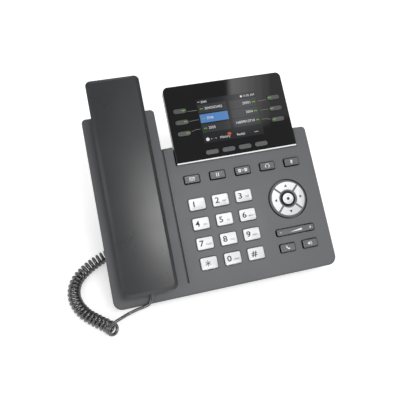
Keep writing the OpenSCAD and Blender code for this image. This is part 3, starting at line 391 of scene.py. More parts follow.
@dataclass(frozen=True)
class GlossPane(Surface):
    """Black printed glass with faint smears.

    Attributes:
        roughness: Roughness of the clean glass.
        specular: Strength of its gloss.
    """

    roughness: float = 0.02
    specular: float = 0.3

    def build(self) -> bpy.types.Material:
        """Returns the material."""
        graph = Graph.material(self.name)
        smear = graph.noise(0.02, 3, (1, 0.4, 0.4))
        dust = (graph.noise(0.0008, 1) - 0.68).clamped()
        return graph.finish(
            Base_Color=graph.blend(smear, self.colour, toned(self.colour, 1.5)),
            Roughness=smear * 0.06 + dust * 0.3 + self.roughness,
            Specular_IOR_Level=self.specular,
        )


@dataclass(frozen=True)
class LitScreen(Surface):
    """A lit patch of the colour screen, with its grid of pixels.

    Attributes:
        glow: How brightly it is lit.
        pitch: Spacing of the pixels, in metres.
    """

    glow: float = 1.0
    pitch: float = 0.00036

    def build(self) -> bpy.types.Material:
        """Returns the material."""
        graph = Graph.material(self.name)
        density = 2 * math.pi / self.pitch
        across = (graph.axis(0) * density).wave()
        up = (graph.axis(1) * (density / math.cos(FACE.tilt))).wave()
        grid = ((across + up) * 0.25 + 0.5).clamped()
        return graph.finish(
            Base_Color=(0.004, 0.004, 0.004, 1),
            Roughness=grid * 0.02 + 0.1,
            Emission_Color=graph.blend(grid, toned(self.colour, 0.8), self.colour),
            Emission_Strength=self.glow,
            Specular_IOR_Level=0.2,
        )


@dataclass(frozen=True)
class Metal(Surface):
    """Plated metal with fine scratches.

    Attributes:
        roughness: Its mean roughness.
    """

    roughness: float = 0.28

    def build(self) -> bpy.types.Material:
        """Returns the material."""
        graph = Graph.material(self.name)
        scratches = graph.noise(0.002, 4, (1, 12, 12))
        return graph.finish(
            Base_Color=graph.blend(scratches, toned(self.colour, 0.8), self.colour),
            Roughness=scratches * 0.16 + (self.roughness - 0.08),
            Normal=graph.bump(scratches, 0.00001, 0.4),
            Metallic=1.0,
        )


@dataclass(frozen=True)
class CordJacket(Surface):
    """The smooth jacket of the cord, with faint drawing lines along it.

    Attributes:
        lines: How many lines run along it, counted round it.
    """

    lines: int = 9

    def build(self) -> bpy.types.Material:
        """Returns the material."""
        graph = Graph.material(self.name)
        lines = (graph.axis(0, "UV") * (2 * math.pi * self.lines)).wave() * 0.5 + 0.5
        dust = graph.noise(0.004, 3)
        return graph.finish(
            Base_Color=graph.blend(dust * 0.5, self.colour, toned(self.colour, 2.2)),
            Roughness=dust * 0.14 + 0.16,
            IOR=2.1,
            Normal=graph.bump(lines + dust, 0.00001, 0.3),
        )


class Finish(Enum):
    """The finishes of the phone."""

    HOUSING = MouldedPlastic("housing_grain", srgb(84, 85, 88), 0.42)
    REAR = MouldedPlastic("rear", srgb(76, 77, 80), 0.55, 0.0009, 0.00004)
    BEZEL = MouldedPlastic("bezel_plastic", srgb(40, 40, 42), 0.3, 0.0005, 0.00001)
    HANDSET = MouldedPlastic("handset_gloss", srgb(41, 42, 44), 0.3, 0.0005, 0.000012)
    HANDSET_BACK = MouldedPlastic("handset_back", srgb(42, 43, 45), 0.45)
    # The dark keys' own colour, also used as painted shade inside the direction ring.
    KEY_DARK = MouldedPlastic("key_dark", srgb(80, 81, 84), 0.34, 0.0004, 0.00001)
    # Painted shade: near black on the sides of the dark keys and on the lower part of the select key, where the gaps
    # round them lie in shade.
    KEY_SIDE = MouldedPlastic("key_side", srgb(16, 16, 17), 0.4, 0.0004, 0.00001)
    PILL = MouldedPlastic("pill", srgb(66, 66, 68), 0.36, 0.0004, 0.00001)
    NAV_BASE = MouldedPlastic("nav_base", srgb(98, 99, 101), 0.4, 0.0004, 0.00001)
    # The silver finishes carry painted shade: each key, and the direction keys as a whole, darken towards the lower
    # right.
    KEY_SILVER = PaintedKey("key_silver", srgb(230, 230, 231), srgb(190, 191, 194))
    NAV_SILVER = PaintedKey("nav_silver", srgb(250, 250, 251), srgb(172, 173, 176))
    GLASS = GlossPane("pane", srgb(15, 15, 16))
    INK_DARK = MouldedPlastic("ink_dark", srgb(22, 23, 26), 0.5, 0.0003, 0.000004)
    INK_GREY = MouldedPlastic("ink_grey", srgb(104, 105, 109), 0.5, 0.0003, 0.000004)
    INK_WHITE = MouldedPlastic("ink_white", srgb(236, 236, 238), 0.5, 0.0003, 0.000004, 0.02)
    INK_LINE = MouldedPlastic("ink_line", srgb(126, 127, 130), 0.4, 0.0003, 0.000004)
    RUBBER = MouldedPlastic("rubber_black", srgb(30, 30, 31), 0.7, 0.001, 0.00004)
    SILICONE = MouldedPlastic("silicone_skin", srgb(190, 190, 188), 0.6, 0.001, 0.00002)
    SOCKET = MouldedPlastic("socket_black", srgb(26, 26, 27), 0.35, 0.0006, 0.00002)
    BOARD = MouldedPlastic("board_green", srgb(28, 92, 52), 0.4, 0.002, 0.00003, 0.25)
    CONE = MouldedPlastic("cone", srgb(38, 38, 40), 0.75, 0.001, 0.00006)
    STEEL = Metal("bright_steel", srgb(190, 190, 192))
    # Painted highlight: the polished strip under the display is near white and barely glossy, in place of the light its
    # face reflects.
    TRIM = MouldedPlastic("trim", srgb(238, 239, 241), 0.3, 0.0003, 0.000004, 0.02)
    CORD = CordJacket("cord_jacket", srgb(36, 37, 39))
    SCREEN_OFF = LitScreen("screen_dark", srgb(36, 37, 39), 0.9)
    SCREEN_ROW = LitScreen("screen_row", srgb(58, 59, 62), 0.9)
    SCREEN_BLUE = LitScreen("screen_blue", srgb(92, 142, 205), 0.9)
    SCREEN_TEXT = LitScreen("screen_text", srgb(236, 237, 240), 0.95)
    SCREEN_GREEN = LitScreen("screen_green", srgb(120, 190, 34), 0.9)
    SCREEN_RED = LitScreen("screen_red", srgb(226, 86, 70), 0.9)
    SCREEN_WHITE = LitScreen("screen_white", srgb(240, 240, 240), 0.95)
    LAMP_GREEN = LitScreen("lamp_green", srgb(122, 192, 30), 0.9)

    @property
    def material(self) -> bpy.types.Material:
        """The material, built when it is first asked for."""
        found = bpy.data.materials.get(self.value.name)
        return found or self.value.build()


# ---- The bench --------------------------------------------------------------------------------------------------


class Kind(Enum):
    """The kinds of element that can be selected, by the names of their lists."""

    POINTS = "vertices"
    EDGES = "edges"
    FACES = "polygons"


class Align(Enum):
    """How a line of text is aligned across."""

    LEFT = "LEFT"
    CENTER = "CENTER"
    RIGHT = "RIGHT"


class Bench:
    """One piece on the modelling bench, shaped with the modelling operators and then placed."""

    def __init__(self, name: str) -> None:
        """Takes the active object as the piece.

        Args:
            name: The piece's name.
        """
        self.obj = bpy.context.view_layer.objects.active
        self.obj.name = name
        self.obj.data.name = name

    # Starts

    @staticmethod
    def clear() -> None:
        """Leaves edit mode and deselects everything."""
        if bpy.context.view_layer.objects.active and bpy.context.mode != "OBJECT":
            bpy.ops.object.mode_set(mode="OBJECT")
        bpy.ops.object.select_all(action="DESELECT")

    @classmethod
    def cube(cls, name: str, size: Point, at: Point) -> "Bench":
        """Starts from a cube.

        Args:
            name: The piece's name.
            size: Its three sizes.
            at: Its middle.

        Returns:
            The bench.
        """
        cls.clear()
        bpy.ops.mesh.primitive_cube_add(size=1, location=at, scale=size)
        return cls(name).settle()

    @classmethod
    def cylinder(cls, name: str, radius: float, height: float, at: Point, sides: int) -> "Bench":
        """Starts from an upright cylinder.

        Args:
            name: The piece's name.
            radius: Its radius.
            height: Its height.
            at: Its middle.
            sides: Its sides.

        Returns:
            The bench.
        """
        cls.clear()
        bpy.ops.mesh.primitive_cylinder_add(vertices=sides, radius=radius, depth=height, location=at)
        return cls(name).settle()

    @classmethod
    def plate(cls, name: str, size: Flat, radius: float, top: float, thickness: float, at: Flat) -> "Bench":
        """Starts from a plate with round corners."""
        bench = cls.cube(name, (*size, thickness), (*at, top - thickness / 2))
        return bench.edges(lambda a, b: abs(a.z - b.z) > thickness * 0.5).bevel(radius, 6)

    @classmethod
    def cap(cls, name: str, size: Flat, radius: float, top: float, back: float, collar: Flat, rim: Flat,
            dish: Iterable[tuple[Flat, float]] = ()) -> "Bench":
        """Starts from the cap of a key, with a collar behind it and a rounded rim.

        Args:
            name: The piece's name.
            size: Its width and height.
            radius: Radius of its corners.
            top: Height of its top.
            back: Height of the collar's front.
            collar: Width and thickness of the collar.
            rim: Distance of the flat middle from the outline, and width of the rounding.
            dish: The steps of the dish, each by its factors and its fall.

        Returns:
            The bench.
        """
        def outer(point: Vector) -> bool:
            """Tells whether a point lies on the outline of the cap's top."""
            x, y = (max(abs(place) - length / 2 + radius, 0) for place, length in zip(point, size))
            return point.z > top - HAIR and math.hypot(x, y) > radius - RIM_SLACK

        bench = cls.plate(name, size, radius, top, top - back, (0, 0))
        bench.back().inset(collar[0], outward=True).extrude((0, 0, -collar[1]))
        bench.front(top - HAIR).inset(rim[0])
        for factors, fall in dish:
            bench.step(factors, (0, 0, top), (0, 0, -fall))
        return bench.edges(lambda a, b: outer(a) and outer(b)).bevel(rim[1], 3)

    @classmethod
    def flat(cls, name: str, loops: Iterable[Sequence[Flat]], top: float, thickness: float) -> "Bench":
        """Starts from a flat curve that is filled between its loops.

        Args:
            name: The piece's name.
            loops: Closed outlines and the outlines of holes.
            top: Height of its top.
            thickness: Its thickness.

        Returns:
            The bench.
        """
        curve = bpy.data.curves.new(name, "CURVE")
        curve.dimensions = "2D"
        curve.fill_mode = "BOTH"
        curve.extrude = thickness / 2
        for loop in loops:
            spline = curve.splines.new("POLY")
            spline.points.add(len(loop) - 1)
            for target, (x, y) in zip(spline.points, loop):
                target.co = (x, y, 0, 1)
            spline.use_cyclic_u = True
        return cls._from_curve(name, curve, top - thickness / 2)

    @classmethod
    def text(cls, name: str, body: str, size: float, at: Point, align: Align = Align.CENTER, bold: float = 0.0,
             thickness: float = 0.03, wide: float = 1.0) -> "Bench":
        """Starts from a line of figures or letters.

        Args:
            name: The piece's name.
            body: What it says.
            size: Its size.
            at: Where it stands.
            align: How it is aligned across.
            bold: How far its strokes are widened.
            thickness: Its thickness.
            wide: How far it is stretched across.

        Returns:
            The bench.
        """
        curve = bpy.data.curves.new(name, "FONT")
        curve.body = body
        curve.size = size
        curve.align_x = align.value
        curve.align_y = "CENTER"
        curve.offset = bold
        curve.extrude = thickness / 2
        curve.resolution_u = 3
        return cls._from_curve(name, curve, 0.0).transform(Matrix.Translation(at) @ Matrix.Diagonal((wide, 1, 1, 1)))

    @classmethod
    def adopt(cls, name: str, data: bpy.types.ID) -> "Bench":
        """Starts from data that is at hand.

        Args:
            name: The piece's name.
            data: Its mesh, curve or text.

        Returns:
            The bench.
        """
        cls.clear()
        obj = link(name, data)
        bpy.context.view_layer.objects.active = obj
        obj.select_set(True)
        return cls(name)

    @classmethod
    def _from_curve(cls, name: str, curve: bpy.types.Curve, height: float) -> "Bench":
        """Turns curve data into a mesh at a height.

        Args:
            name: The piece's name.
            curve: The curve or text.
            height: Height of its middle.

        Returns:
            The bench.
        """
        cls.adopt(name, curve)
        bpy.ops.object.convert(target="MESH")
        return cls(name).shift(0, 0, height).weld(0.0005)

    @classmethod
    def from_node(cls, name: str, node: bpy.types.Object) -> "Bench":
        """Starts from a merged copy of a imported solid, without the edges inside its flat faces.

        Args:
            name: The piece's name.
            node: The solid's object.

        Returns:
            The bench.
        """
        bench = cls.adopt(name, node.data.copy()).transform(node.matrix_world)
        bench.obj.data.materials.clear()
        return bench.weld(0.000004).whole(bpy.ops.mesh.dissolve_limited, angle_limit=math.radians(1))

    # Selection

    def take(self) -> bpy.types.Mesh:
        """Makes the piece the only selected object, in object mode, and returns its mesh."""
        self.clear()
        bpy.context.view_layer.objects.active = self.obj
        self.obj.select_set(True)
        return self.obj.data

    def _select(self, kind: Kind, chosen: Sequence[bool]) -> "Bench":
        """Selects elements of one kind and goes to edit mode.

        Args:
            kind: The kind.
            chosen: Whether each of them is selected.

        Returns:
            The bench.
        """
        mesh = self.take()
        for other in Kind:
            group = getattr(mesh, other.value)
            group.foreach_set("select", chosen if other is kind else [False] * len(group))
        bpy.context.tool_settings.mesh_select_mode = [other is kind for other in Kind]
        bpy.ops.object.mode_set(mode="EDIT")
        return self

    def faces(self, test: Test) -> "Bench":
        """Selects the faces whose middle and normal pass a test."""
        return self._select(Kind.FACES, [test(face.center, face.normal) for face in self.take().polygons])

    def front(self, above: float = -math.inf) -> "Bench":
        """Selects the faces that look up and lie above a height."""
        return self.faces(lambda c, n: n.z > FACING and c.z > above)

    def back(self) -> "Bench":
        """Selects the faces that look down."""
        return self.faces(lambda c, n: n.z < -FACING)

    def edges(self, test: Test) -> "Bench":
        """Selects the edges whose two ends pass a test."""
        mesh = self.take()
        ends = [[mesh.vertices[index].co for index in edge.vertices] for edge in mesh.edges]
        return self._select(Kind.EDGES, [test(first, second) for first, second in ends])

    def points(self, test: Callable[[Vector], bool]) -> "Bench":
        """Selects the vertices whose place passes a test."""
        return self._select(Kind.POINTS, [test(point.co) for point in self.take().vertices])

    # Operations on what is selected

    def inset(self, thickness: float, outward: bool = False) -> "Bench":
        """Insets the selected faces, or sets them out, and leaves the inner ones selected."""
        bpy.ops.mesh.inset(thickness=thickness, depth=0.0, use_outset=outward)
        return self

    def extrude(self, move: Point) -> "Bench":
        """Extrudes the selected faces along a vector."""
        bpy.ops.mesh.extrude_region_move(TRANSFORM_OT_translate={"value": move})
        return self

    def step(self, factors: Flat, centre: Point, move: Point) -> "Bench":
        """Extrudes the selected faces in place, draws them together about a centre and moves them."""
        return self.extrude((0, 0, 0)).scale((*factors, 1), centre).move(move)

    def bevel(self, width: float, segments: int) -> "Bench":
        """Bevels the selected edges."""
        bpy.ops.mesh.bevel(offset=width, offset_type="OFFSET", segments=segments, affect="EDGES", profile=0.5)
        return self

    def move(self, value: Point) -> "Bench":
        """Moves what is selected."""
        bpy.ops.transform.translate(value=value)
        return self

    def scale(self, value: Point, centre: Point) -> "Bench":
        """Scales what is selected about a centre."""
        bpy.ops.transform.resize(value=value, center_override=centre)
        return self

    def delete(self) -> "Bench":
        """Deletes the selected faces."""
        bpy.ops.mesh.delete(type="FACE")
        return self

    # Operations on the whole piece

    def settle(self) -> "Bench":
        """Applies the object's place, turn and scale to its mesh."""
        self.take()
        bpy.ops.object.transform_apply(location=True, rotation=True, scale=True)
        return self

    def whole(self, operator: Callable[..., Any], **settings: Any) -> "Bench":
        """Runs a mesh operator on the whole mesh.

        Args:
            operator: The operator.
            settings: Its settings.

        Returns:
            The bench.
        """
        self.points(lambda p: True)
        operator(**settings)
        return self

    def cut(self, at: Point, normal: Point) -> "Bench":
        """Cuts the mesh with a plane and keeps both sides."""
        return self.whole(bpy.ops.mesh.bisect, plane_co=at, plane_no=normal)

    def weld(self, distance: float) -> "Bench":
        """Merges vertices that lie together."""
        return self.whole(bpy.ops.mesh.remove_doubles, threshold=distance)

    def outwards(self) -> "Bench":
        """Turns every face outwards."""
        return self.whole(bpy.ops.mesh.normals_make_consistent, inside=False)

    def modify(self, kind: str, **settings: Any) -> "Bench":
        """Adds a modifier and applies it.

        Args:
            kind: The modifier's type.
            settings: Its settings.

        Returns:
            The bench.
        """
        self.take()
        modifier = self.obj.modifiers.new(kind.lower(), kind)
        for key, value in settings.items():
            setattr(modifier, key, value)
        bpy.ops.object.modifier_apply(modifier=modifier.name)
        return self

    def soften(self, width: float, segments: int, angle: float, clamp: bool = True) -> "Bench":
        """Rounds every edge that is sharper than an angle, in degrees."""
        return self.modify("BEVEL", width=width, segments=segments, limit_method="ANGLE",
                           angle_limit=math.radians(angle), harden_normals=False, miter_outer="MITER_ARC",
                           use_clamp_overlap=clamp, loop_slide=clamp)

    def smooth(self, angle: float) -> "Bench":
        """Shades the piece smooth up to an angle, in degrees, with its large faces left flat."""
        self.take()
        bpy.ops.object.shade_smooth_by_angle(angle=math.radians(angle))
        return self.modify("WEIGHTED_NORMAL", keep_sharp=True)

    def unwrap(self, width: float, height: float) -> "Bench":
        """Gives the piece a map that runs from 0 to 1 across a rectangle about its frame's origin.

        Args:
            width: The rectangle's width.
            height: Its height.

        Returns:
            The bench.
        """
        mesh = self.take()
        layer = mesh.uv_layers[0] if mesh.uv_layers else mesh.uv_layers.new(name="face")
        for loop in mesh.loops:
            spot = mesh.vertices[loop.vertex_index].co
            layer.data[loop.index].uv = (spot.x / width + 0.5, spot.y / height + 0.5)
        return self

    def transform(self, matrix: Matrix) -> "Bench":
        """Moves, turns or stretches the mesh by a matrix."""
        mesh = self.take()
        mesh.transform(matrix)
        mesh.update()
        return self

    def shift(self, u: float, v: float, w: float = 0.0) -> "Bench":
        """Moves the mesh within its frame."""
        return self.transform(Matrix.Translation((u, v, w)))

    def turn(self, degrees: float, axis: str = "Z") -> "Bench":
        """Turns the mesh about its frame's origin."""
        return self.transform(Matrix.Rotation(math.radians(degrees), 4, axis))

    def join(self, *others: "Bench") -> "Bench":
        """Joins other pieces into this one."""
        self.take()
        for other in others:
            other.obj.select_set(True)
        bpy.ops.object.join()
        return self

    def twin(self, name: str) -> "Bench":
        """Returns a copy of the piece, with its own mesh."""
        self.take()
        bpy.ops.object.duplicate(linked=False)
        return Bench(name)

    def paint(self, finish: Finish) -> "Bench":
        """Gives the whole piece one finish."""
        materials = self.take().materials
        materials.clear()
        materials.append(finish.material)
        return self

    def paint_where(self, finish: Finish, test: Test) -> "Bench":
        """Gives the faces that pass a test another finish.

        Args:
            finish: The finish.
            test: Which faces, by middle and normal.

        Returns:
            The bench.
        """
        mesh = self.take()
        mesh.materials.append(finish.material)
        for face in mesh.polygons:
            if test(face.center, face.normal):
                face.material_index = len(mesh.materials) - 1
        return self

    def place(self, matrix: Matrix, body: str, slot: str, *nodes: str) -> bpy.types.Object:
        """Places the finished piece on its body and hides the solids that it stands for.

        Args:
            matrix: From the piece's frame to metres.
            body: The body that it rides on.
            slot: Not used.
            nodes: The solids that it stands for.

        Returns:
            The finished object.
        """
        self.transform(matrix)
        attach(self.obj, body)
        if nodes:
            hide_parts(*nodes)
        LOG.info("%s rides on %s", self.obj.name, body)
        return self.obj

    def mount(self, at: Flat, body: str, slot: str, *nodes: str) -> None:
        """Places the finished piece on the phone's face."""
        self.shift(*at).place(FACE.matrix(), body, slot, *nodes)


# ---- Stage ------------------------------------------------------------------------------------------------------


@dataclass
class Stage:
    """The floor, the soft light and the camera."""

    camera_at: Point = (-0.07903, -0.28302, 0.37657)
    azimuth: float = -13.99
    elevation: float = 47.82
    lens: float = 40.506
    floor_size: float = 6.0
    world_level: float = 0.45
    lamps: Sequence[tuple[str, Point, Point, Flat, float]] = (
        ("top_lamp", (0.1, 0.45, 1.25), (0.0, 0.0, 0.06), (0.9, 0.9), 2.9),
        ("side_lamp", (0.68, -0.9, 1.05), (0.0, 0.0, 0.06), (0.9, 0.9), 4.2),
        ("grip_lamp", (0.18, -0.63, 1.1), (0.16, -0.53, 0.0), (0.32, 0.22), 3.9),
        ("left_lamp", (-1.1, -0.05, 0.42), (-0.05, 0.0, 0.1), (0.35, 0.35), 0.9),
        ("cord_lamp", (-0.45, -0.45, 0.55), (-0.12, -0.05, 0.0), (0.1, 0.1), 0.6),
        ("pane_lamp", (0.47, -0.18, 1.1), (0.47, -0.18, 0.0), (0.34, 0.2), 0.16))
    strips: int = 6
    strip_edge: float = 0.3
    strip_y: float = -0.18
    strip_length: float = 0.2
    strip_width: float = 0.02
    strip_height: float = 1.1
    strip_fall: float = 0.01
    strip_power: float = 0.427

    def camera(self) -> None:
        """Makes the camera and gives it to the scene."""
        data = bpy.data.cameras.new("camera")
        data.lens = self.lens
        data.sensor_width = 36.0
        data.clip_start = 0.01
        camera = link("camera", data)
        camera.location = self.camera_at
        camera.rotation_euler = (math.radians(90 - self.elevation), 0, math.radians(self.azimuth))
        bpy.context.scene.camera = camera

    def floor(self) -> None:
        """Makes the plain floor, which the camera sees white away from the shadow."""
        Bench.clear()
        bpy.ops.mesh.primitive_plane_add(size=self.floor_size, location=(0, 0, 0))
        floor = bpy.context.view_layer.objects.active
        floor.name = "floor"
        graph = Graph.material("floor")
        diffuse = graph.node("ShaderNodeBsdfDiffuse", Color=(0.86, 0.86, 0.86, 1), Roughness=0.6).outputs[0]
        white = graph.node("ShaderNodeEmission", Color=(1, 1, 1, 1), Strength=0.45).outputs[0]
        path = graph.node("ShaderNodeLightPath").outputs
        camera, glossy, through = (Value(graph, path[f"Is {ray} Ray"]) for ray in ("Camera", "Glossy", "Transmission"))
        added = graph.node("ShaderNodeAddShader", diffuse, white).outputs[0]
        choice = graph.node("ShaderNodeMixShader", (camera + glossy + through).clamped(), diffuse, added)
        graph.node("ShaderNodeOutputMaterial", choice.outputs[0])
        floor.data.materials.append(graph.owner)

    def world(self) -> None:
        """Makes the even studio light around the phone, white where the camera sees it."""
        graph = Graph(bpy.data.worlds.new("studio"))
        bpy.context.scene.world = graph.owner
        path = graph.node("ShaderNodeLightPath")
        mix = graph.node("ShaderNodeMix", path.outputs["Is Camera Ray"], settings={"data_type": "FLOAT"})
        graph.feed(mix.inputs[2], self.world_level)
        graph.feed(mix.inputs[3], 1.0)
        background = graph.node("ShaderNodeBackground", Color=(1, 1, 1, 1), Strength=mix.outputs[0])
        graph.node("ShaderNodeOutputWorld", background.outputs[0])

    @staticmethod
    def lamp(name: str, at: Point, aim: Point, size: Flat, power: float) -> None:
        """Adds a soft box.

        Args:
            name: The lamp's name.
            at: Where it stands.
            aim: Where it points.
            size: Its width and height.
            power: Its power in watts.
        """
        data = bpy.data.lights.new(name, "AREA")
        data.shape = "RECTANGLE"
        data.size, data.size_y = size
        data.energy = power
        lamp = link(name, data)
        lamp.location = at
        lamp.rotation_euler = (Vector(aim) - Vector(at)).to_track_quat("-Z", "Y").to_euler()

    def light(self) -> None:
        """Makes the lamps, and the strips whose reflections fade out across the pane."""
        for lamp in self.lamps:
            self.lamp(*lamp)
        for number in range(1, self.strips + 1):
            width = self.strip_width * number
            x, height = self.strip_edge + width / 2, self.strip_height - self.strip_fall * number
            self.lamp(f"pane_lamp_{number}", (x, self.strip_y, height), (x, self.strip_y, 0.0),
                      (width, self.strip_length), self.strip_power * width)


# ---- Cord -------------------------------------------------------------------------------------------------------


@dataclass
class Cord:
    """The coiled cord, from the socket behind the base round to the handset.

    The routes are in millimetres on the desk, and the coil's points give the lift of its underside. A tail is
    where the cord enters a plug, in the face frame or in the handset's, and is as long as it runs straight.
    """

    diameter: float = 2.9
    coil_diameter: float = 12.4
    pitch: float = 4.15
    steps_per_turn: int = 18
    sides: int = 10
    coil_route: Sequence[Point] = (
        (-108.6, -90.5, 3.4), (-110.7, -87.4, 0.9), (-113.8, -83.6, 0.1), (-120, -78.5, 0), (-132, -67, 0),
        (-139, -54, 0), (-140.5, -42, 0), (-137, -30, 0), (-128, -20, 0), (-116, -12, 0), (-104, -7, 0),
        (-91, -5, 0), (-78, -8, 0), (-67, -16, 0), (-60, -28, 0))
    front_route: Sequence[Point] = (
        (-71.4, -79.2, 29.5), (-72.9, -81.2, 27.2), (-75.2, -82.7, 25.6), (-79.4, -83.1, 24), (-84.5, -83.2, 22.6),
        (-90, -83.5, 20.6), (-95.3, -84.2, 18.9), (-100.5, -85.4, 17.2), (-105.2, -86.3, 15.4))
    rear_route: Sequence[Point] = (
        (-58, -31.5, 11), (-57, -36, 13.5), (-56.4, -41, 18), (-56, -44, 22), (-54.5, -45, 25.5))
    base_tail: Point = (55.2, 33.2, -15.7)
    handset_tail: Point = (1.0, 0.2, -18.0)
    tail: float = 1.0
    route_steps: int = 24
    lead_steps: int = 6

    @property
    def coil_radius(self) -> float:
        """Outer radius of the coil."""
        return self.coil_diameter / 2

    @property
    def wind_radius(self) -> float:
        """Radius of the coil at the middle of the cord."""
        return (self.coil_diameter - self.diameter) / 2

    @staticmethod
    def smooth_curve(points: Sequence[Vector], steps: int) -> list[Vector]:
        """Runs a smooth curve through points.

        Args:
            points: The points.
            steps: Steps between two of them.

        Returns:
            The points of the curve.
        """
        out: list[Vector] = []
        last = len(points) - 1
        for index in range(last):
            a, b = points[max(index - 1, 0)], points[index]
            c, d = points[index + 1], points[min(index + 2, last)]
            for step in range(steps):
                t = step / steps
                out.append(0.5 * (2 * b + (c - a) * t + (2 * a - 5 * b + 4 * c - d) * t * t
                                  + (3 * b - a - 3 * c + d) * t * t * t))
        out.append(points[-1].copy())
        return out

    @staticmethod
    def even(points: Sequence[Vector], count: int) -> list[Vector]:
        """Spaces points evenly along a line.

        Args:
            points: The line's points.
            count: How many to return.

        Returns:
            The even points.
        """
        reach = [0.0]
        for first, second in zip(points, points[1:]):
            reach.append(reach[-1] + (second - first).length)
        out: list[Vector] = []
        index = 0
        for number in range(count):
            goal = reach[-1] * number / (count - 1)
            while index < len(points) - 2 and reach[index + 1] < goal:
                index += 1
            span = reach[index + 1] - reach[index] or 1.0
            out.append(points[index].lerp(points[index + 1], (goal - reach[index]) / span))
        return out

    def helix(self) -> list[Vector]:
        """Returns the line of the cord along the coil, from its front end to its rear end."""
        route = [Vector((x, y, lift + self.coil_radius)) for x, y, lift in self.coil_route]
        middle = self.smooth_curve(route, self.route_steps)
        turns = round(self.length(middle) / MM / self.pitch)
        spots = self.even(middle, turns * self.steps_per_turn + 1)
        out = []
        for index, spot in enumerate(spots):
            ahead = spots[min(index + 1, len(spots) - 1)] - spots[max(index - 1, 0)]
            side = ahead.cross(Vector((0, 0, 1))).normalized()
            up = side.cross(ahead).normalized()
            angle = 2 * math.pi * index / self.steps_per_turn
            out.append(spot + self.wind_radius * (up * math.cos(angle) - side * math.sin(angle)))
        return out

    def lines(self) -> tuple[list[Vector], list[Vector]]:
        """Works out the two lines of the cord.

        Returns:
            The line from the base's plug to the end of the coil, and the line from there to the handset's plug.
        """
        helix = self.helix()
        base, handset = FACE.matrix(), FACE.handset()
        base_end, handset_end = Vector(self.base_tail), Vector(self.handset_tail)
        rear = [*helix[-2:], *map(Vector, self.rear_route), base @ (base_end - Vector((self.tail, 0, 0))) / MM,
                base @ base_end / MM]
        front = [helix[1], helix[0], *map(Vector, reversed(self.front_route)),
                 handset @ (handset_end - Vector((0, self.tail, 0))) / MM, handset @ handset_end / MM]
        rear_line, front_line = (self.smooth_curve(line, self.lead_steps)[self.lead_steps:] for line in (rear, front))
        return rear_line[:0:-1] + helix[::-1], front_line

    def tube(self, name: str, line: Sequence[Vector]) -> Bench:
        """Sweeps the cord's round section along a line.

        Args:
            name: The piece's name.
            line: The line, in millimetres.

        Returns:
            The bench, with a map whose first axis runs round the cord.
        """
        radius, sides, count = self.diameter / 2, self.sides, len(line)
        vertices = []
        side = (line[1] - line[0]).orthogonal().normalized()
        for index, spot in enumerate(line):
            ahead = (line[min(index + 1, count - 1)] - line[max(index - 1, 0)]).normalized()
            side = (side - ahead * side.dot(ahead)).normalized()
            up = ahead.cross(side)
            for number in range(sides):
                angle = 2 * math.pi * number / sides
                vertices.append(spot + radius * (math.cos(angle) * side + math.sin(angle) * up))
        faces = [(ring + k, ring + (k + 1) % sides, ring + sides + (k + 1) % sides, ring + sides + k)
                 for ring in range(0, (count - 1) * sides, sides) for k in range(sides)]
        faces += [tuple(reversed(range(sides))), tuple(range((count - 1) * sides, count * sides))]
        mesh = bpy.data.meshes.new(name)
        mesh.from_pydata([tuple(vertex) for vertex in vertices], [], faces)
        bench = Bench.adopt(name, mesh)
        layer = mesh.uv_layers.new(name="cord")
        for loop in mesh.loops:
            ring, number = divmod(loop.vertex_index, sides)
            layer.data[loop.index].uv = (number / sides, ring / count)
        return bench.smooth(60)

    @staticmethod
    def length(line: Sequence[Vector]) -> float:
        """Returns a line's length in metres."""
        return sum((b - a).length for a, b in zip(line, line[1:])) * MM

    def build(self) -> None:
        coil_line, lead_line = self.lines()
        coil = self.tube("coiled_cord", coil_line).paint(Finish.CORD)
        coil_obj = coil.place(WORLD_MM, "base", "cord", "cord_coil", "base_lead")
        coil_line[0] * MM
        round(self.length(coil_line), 3)
        [point * MM for point in coil_line]
        lead = self.tube("handset_cord", lead_line).paint(Finish.CORD).transform(WORLD_MM)
        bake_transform(lead.obj, "base", "handset", start=tuple(lead_line[0] * MM), end=tuple(lead_line[-1] * MM))
        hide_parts("handset_lead")
        lead_line[-1] * MM
        round(self.length(lead_line), 3)
        [point * MM for point in reversed(lead_line)]
        LOG.info("the cord is %.3f m long", self.length(coil_line) + self.length(lead_line))


# ---- Handset ----------------------------------------------------------------------------------------------------


@dataclass
class Handset:
    """The handset's outer cover, shaped in the handset's own frame with its outer face at height 0."""

    length: float = 190.2
    width: float = 47.0
    corner: float = 4.4
    bevel_width: float = 3.0
    bevel_depth: float = 3.2
    cover_depth: float = 11.0
    draft: float = 1.2
    wall: float = 2.0
    edge: float = 0.45
    crown: float = 0.5
    ribs: Sequence[float] = tuple(2.5 * number for number in range(-7, 8))

    def build(self) -> None:
        """Makes the cover: a crowned face with a bevel band all round, over drafted sides."""
        depth = self.cover_depth - self.bevel_depth
        centre = (0, self.length / 2, -self.bevel_depth)
        bench = Bench.plate("handset_outer_cover", (self.width, self.length), self.corner, -self.bevel_depth, depth,
                            centre[:2])
        bench.back().scale(self.narrowed(self.draft), centre)
        bench.front().extrude((0, 0, self.bevel_depth - self.crown)).scale(self.narrowed(self.bevel_width), centre)
        for rib in self.ribs:
            bench.cut((rib, 0, 0), (1, 0, 0))
        half = self.width / 2 - self.bevel_width
        top = -self.crown - HAIR
        for rib in self.ribs:
            rise = self.crown * (1 - (rib / half) ** 2)
            bench.points(lambda p, x=rib: p.z > top and abs(p.x - x) < HAIR).move((0, 0, rise))
        bench.back().delete().outwards()
        bench.modify("SOLIDIFY", thickness=self.wall, offset=-1.0, use_even_offset=True)
        bench.soften(self.edge, 3, 24).smooth(34).paint(Finish.HANDSET)
        bench.place(FACE.handset(), "handset", "handset_plastic", "handset_cover")

    def narrowed(self, inset: float) -> Point:
        """Returns the factors that draw the cover's outline in by an inset."""
        return (1 - 2 * inset / self.width, 1 - 2 * inset / self.length, 1)


# ---- Keys -------------------------------------------------------------------------------------------------------


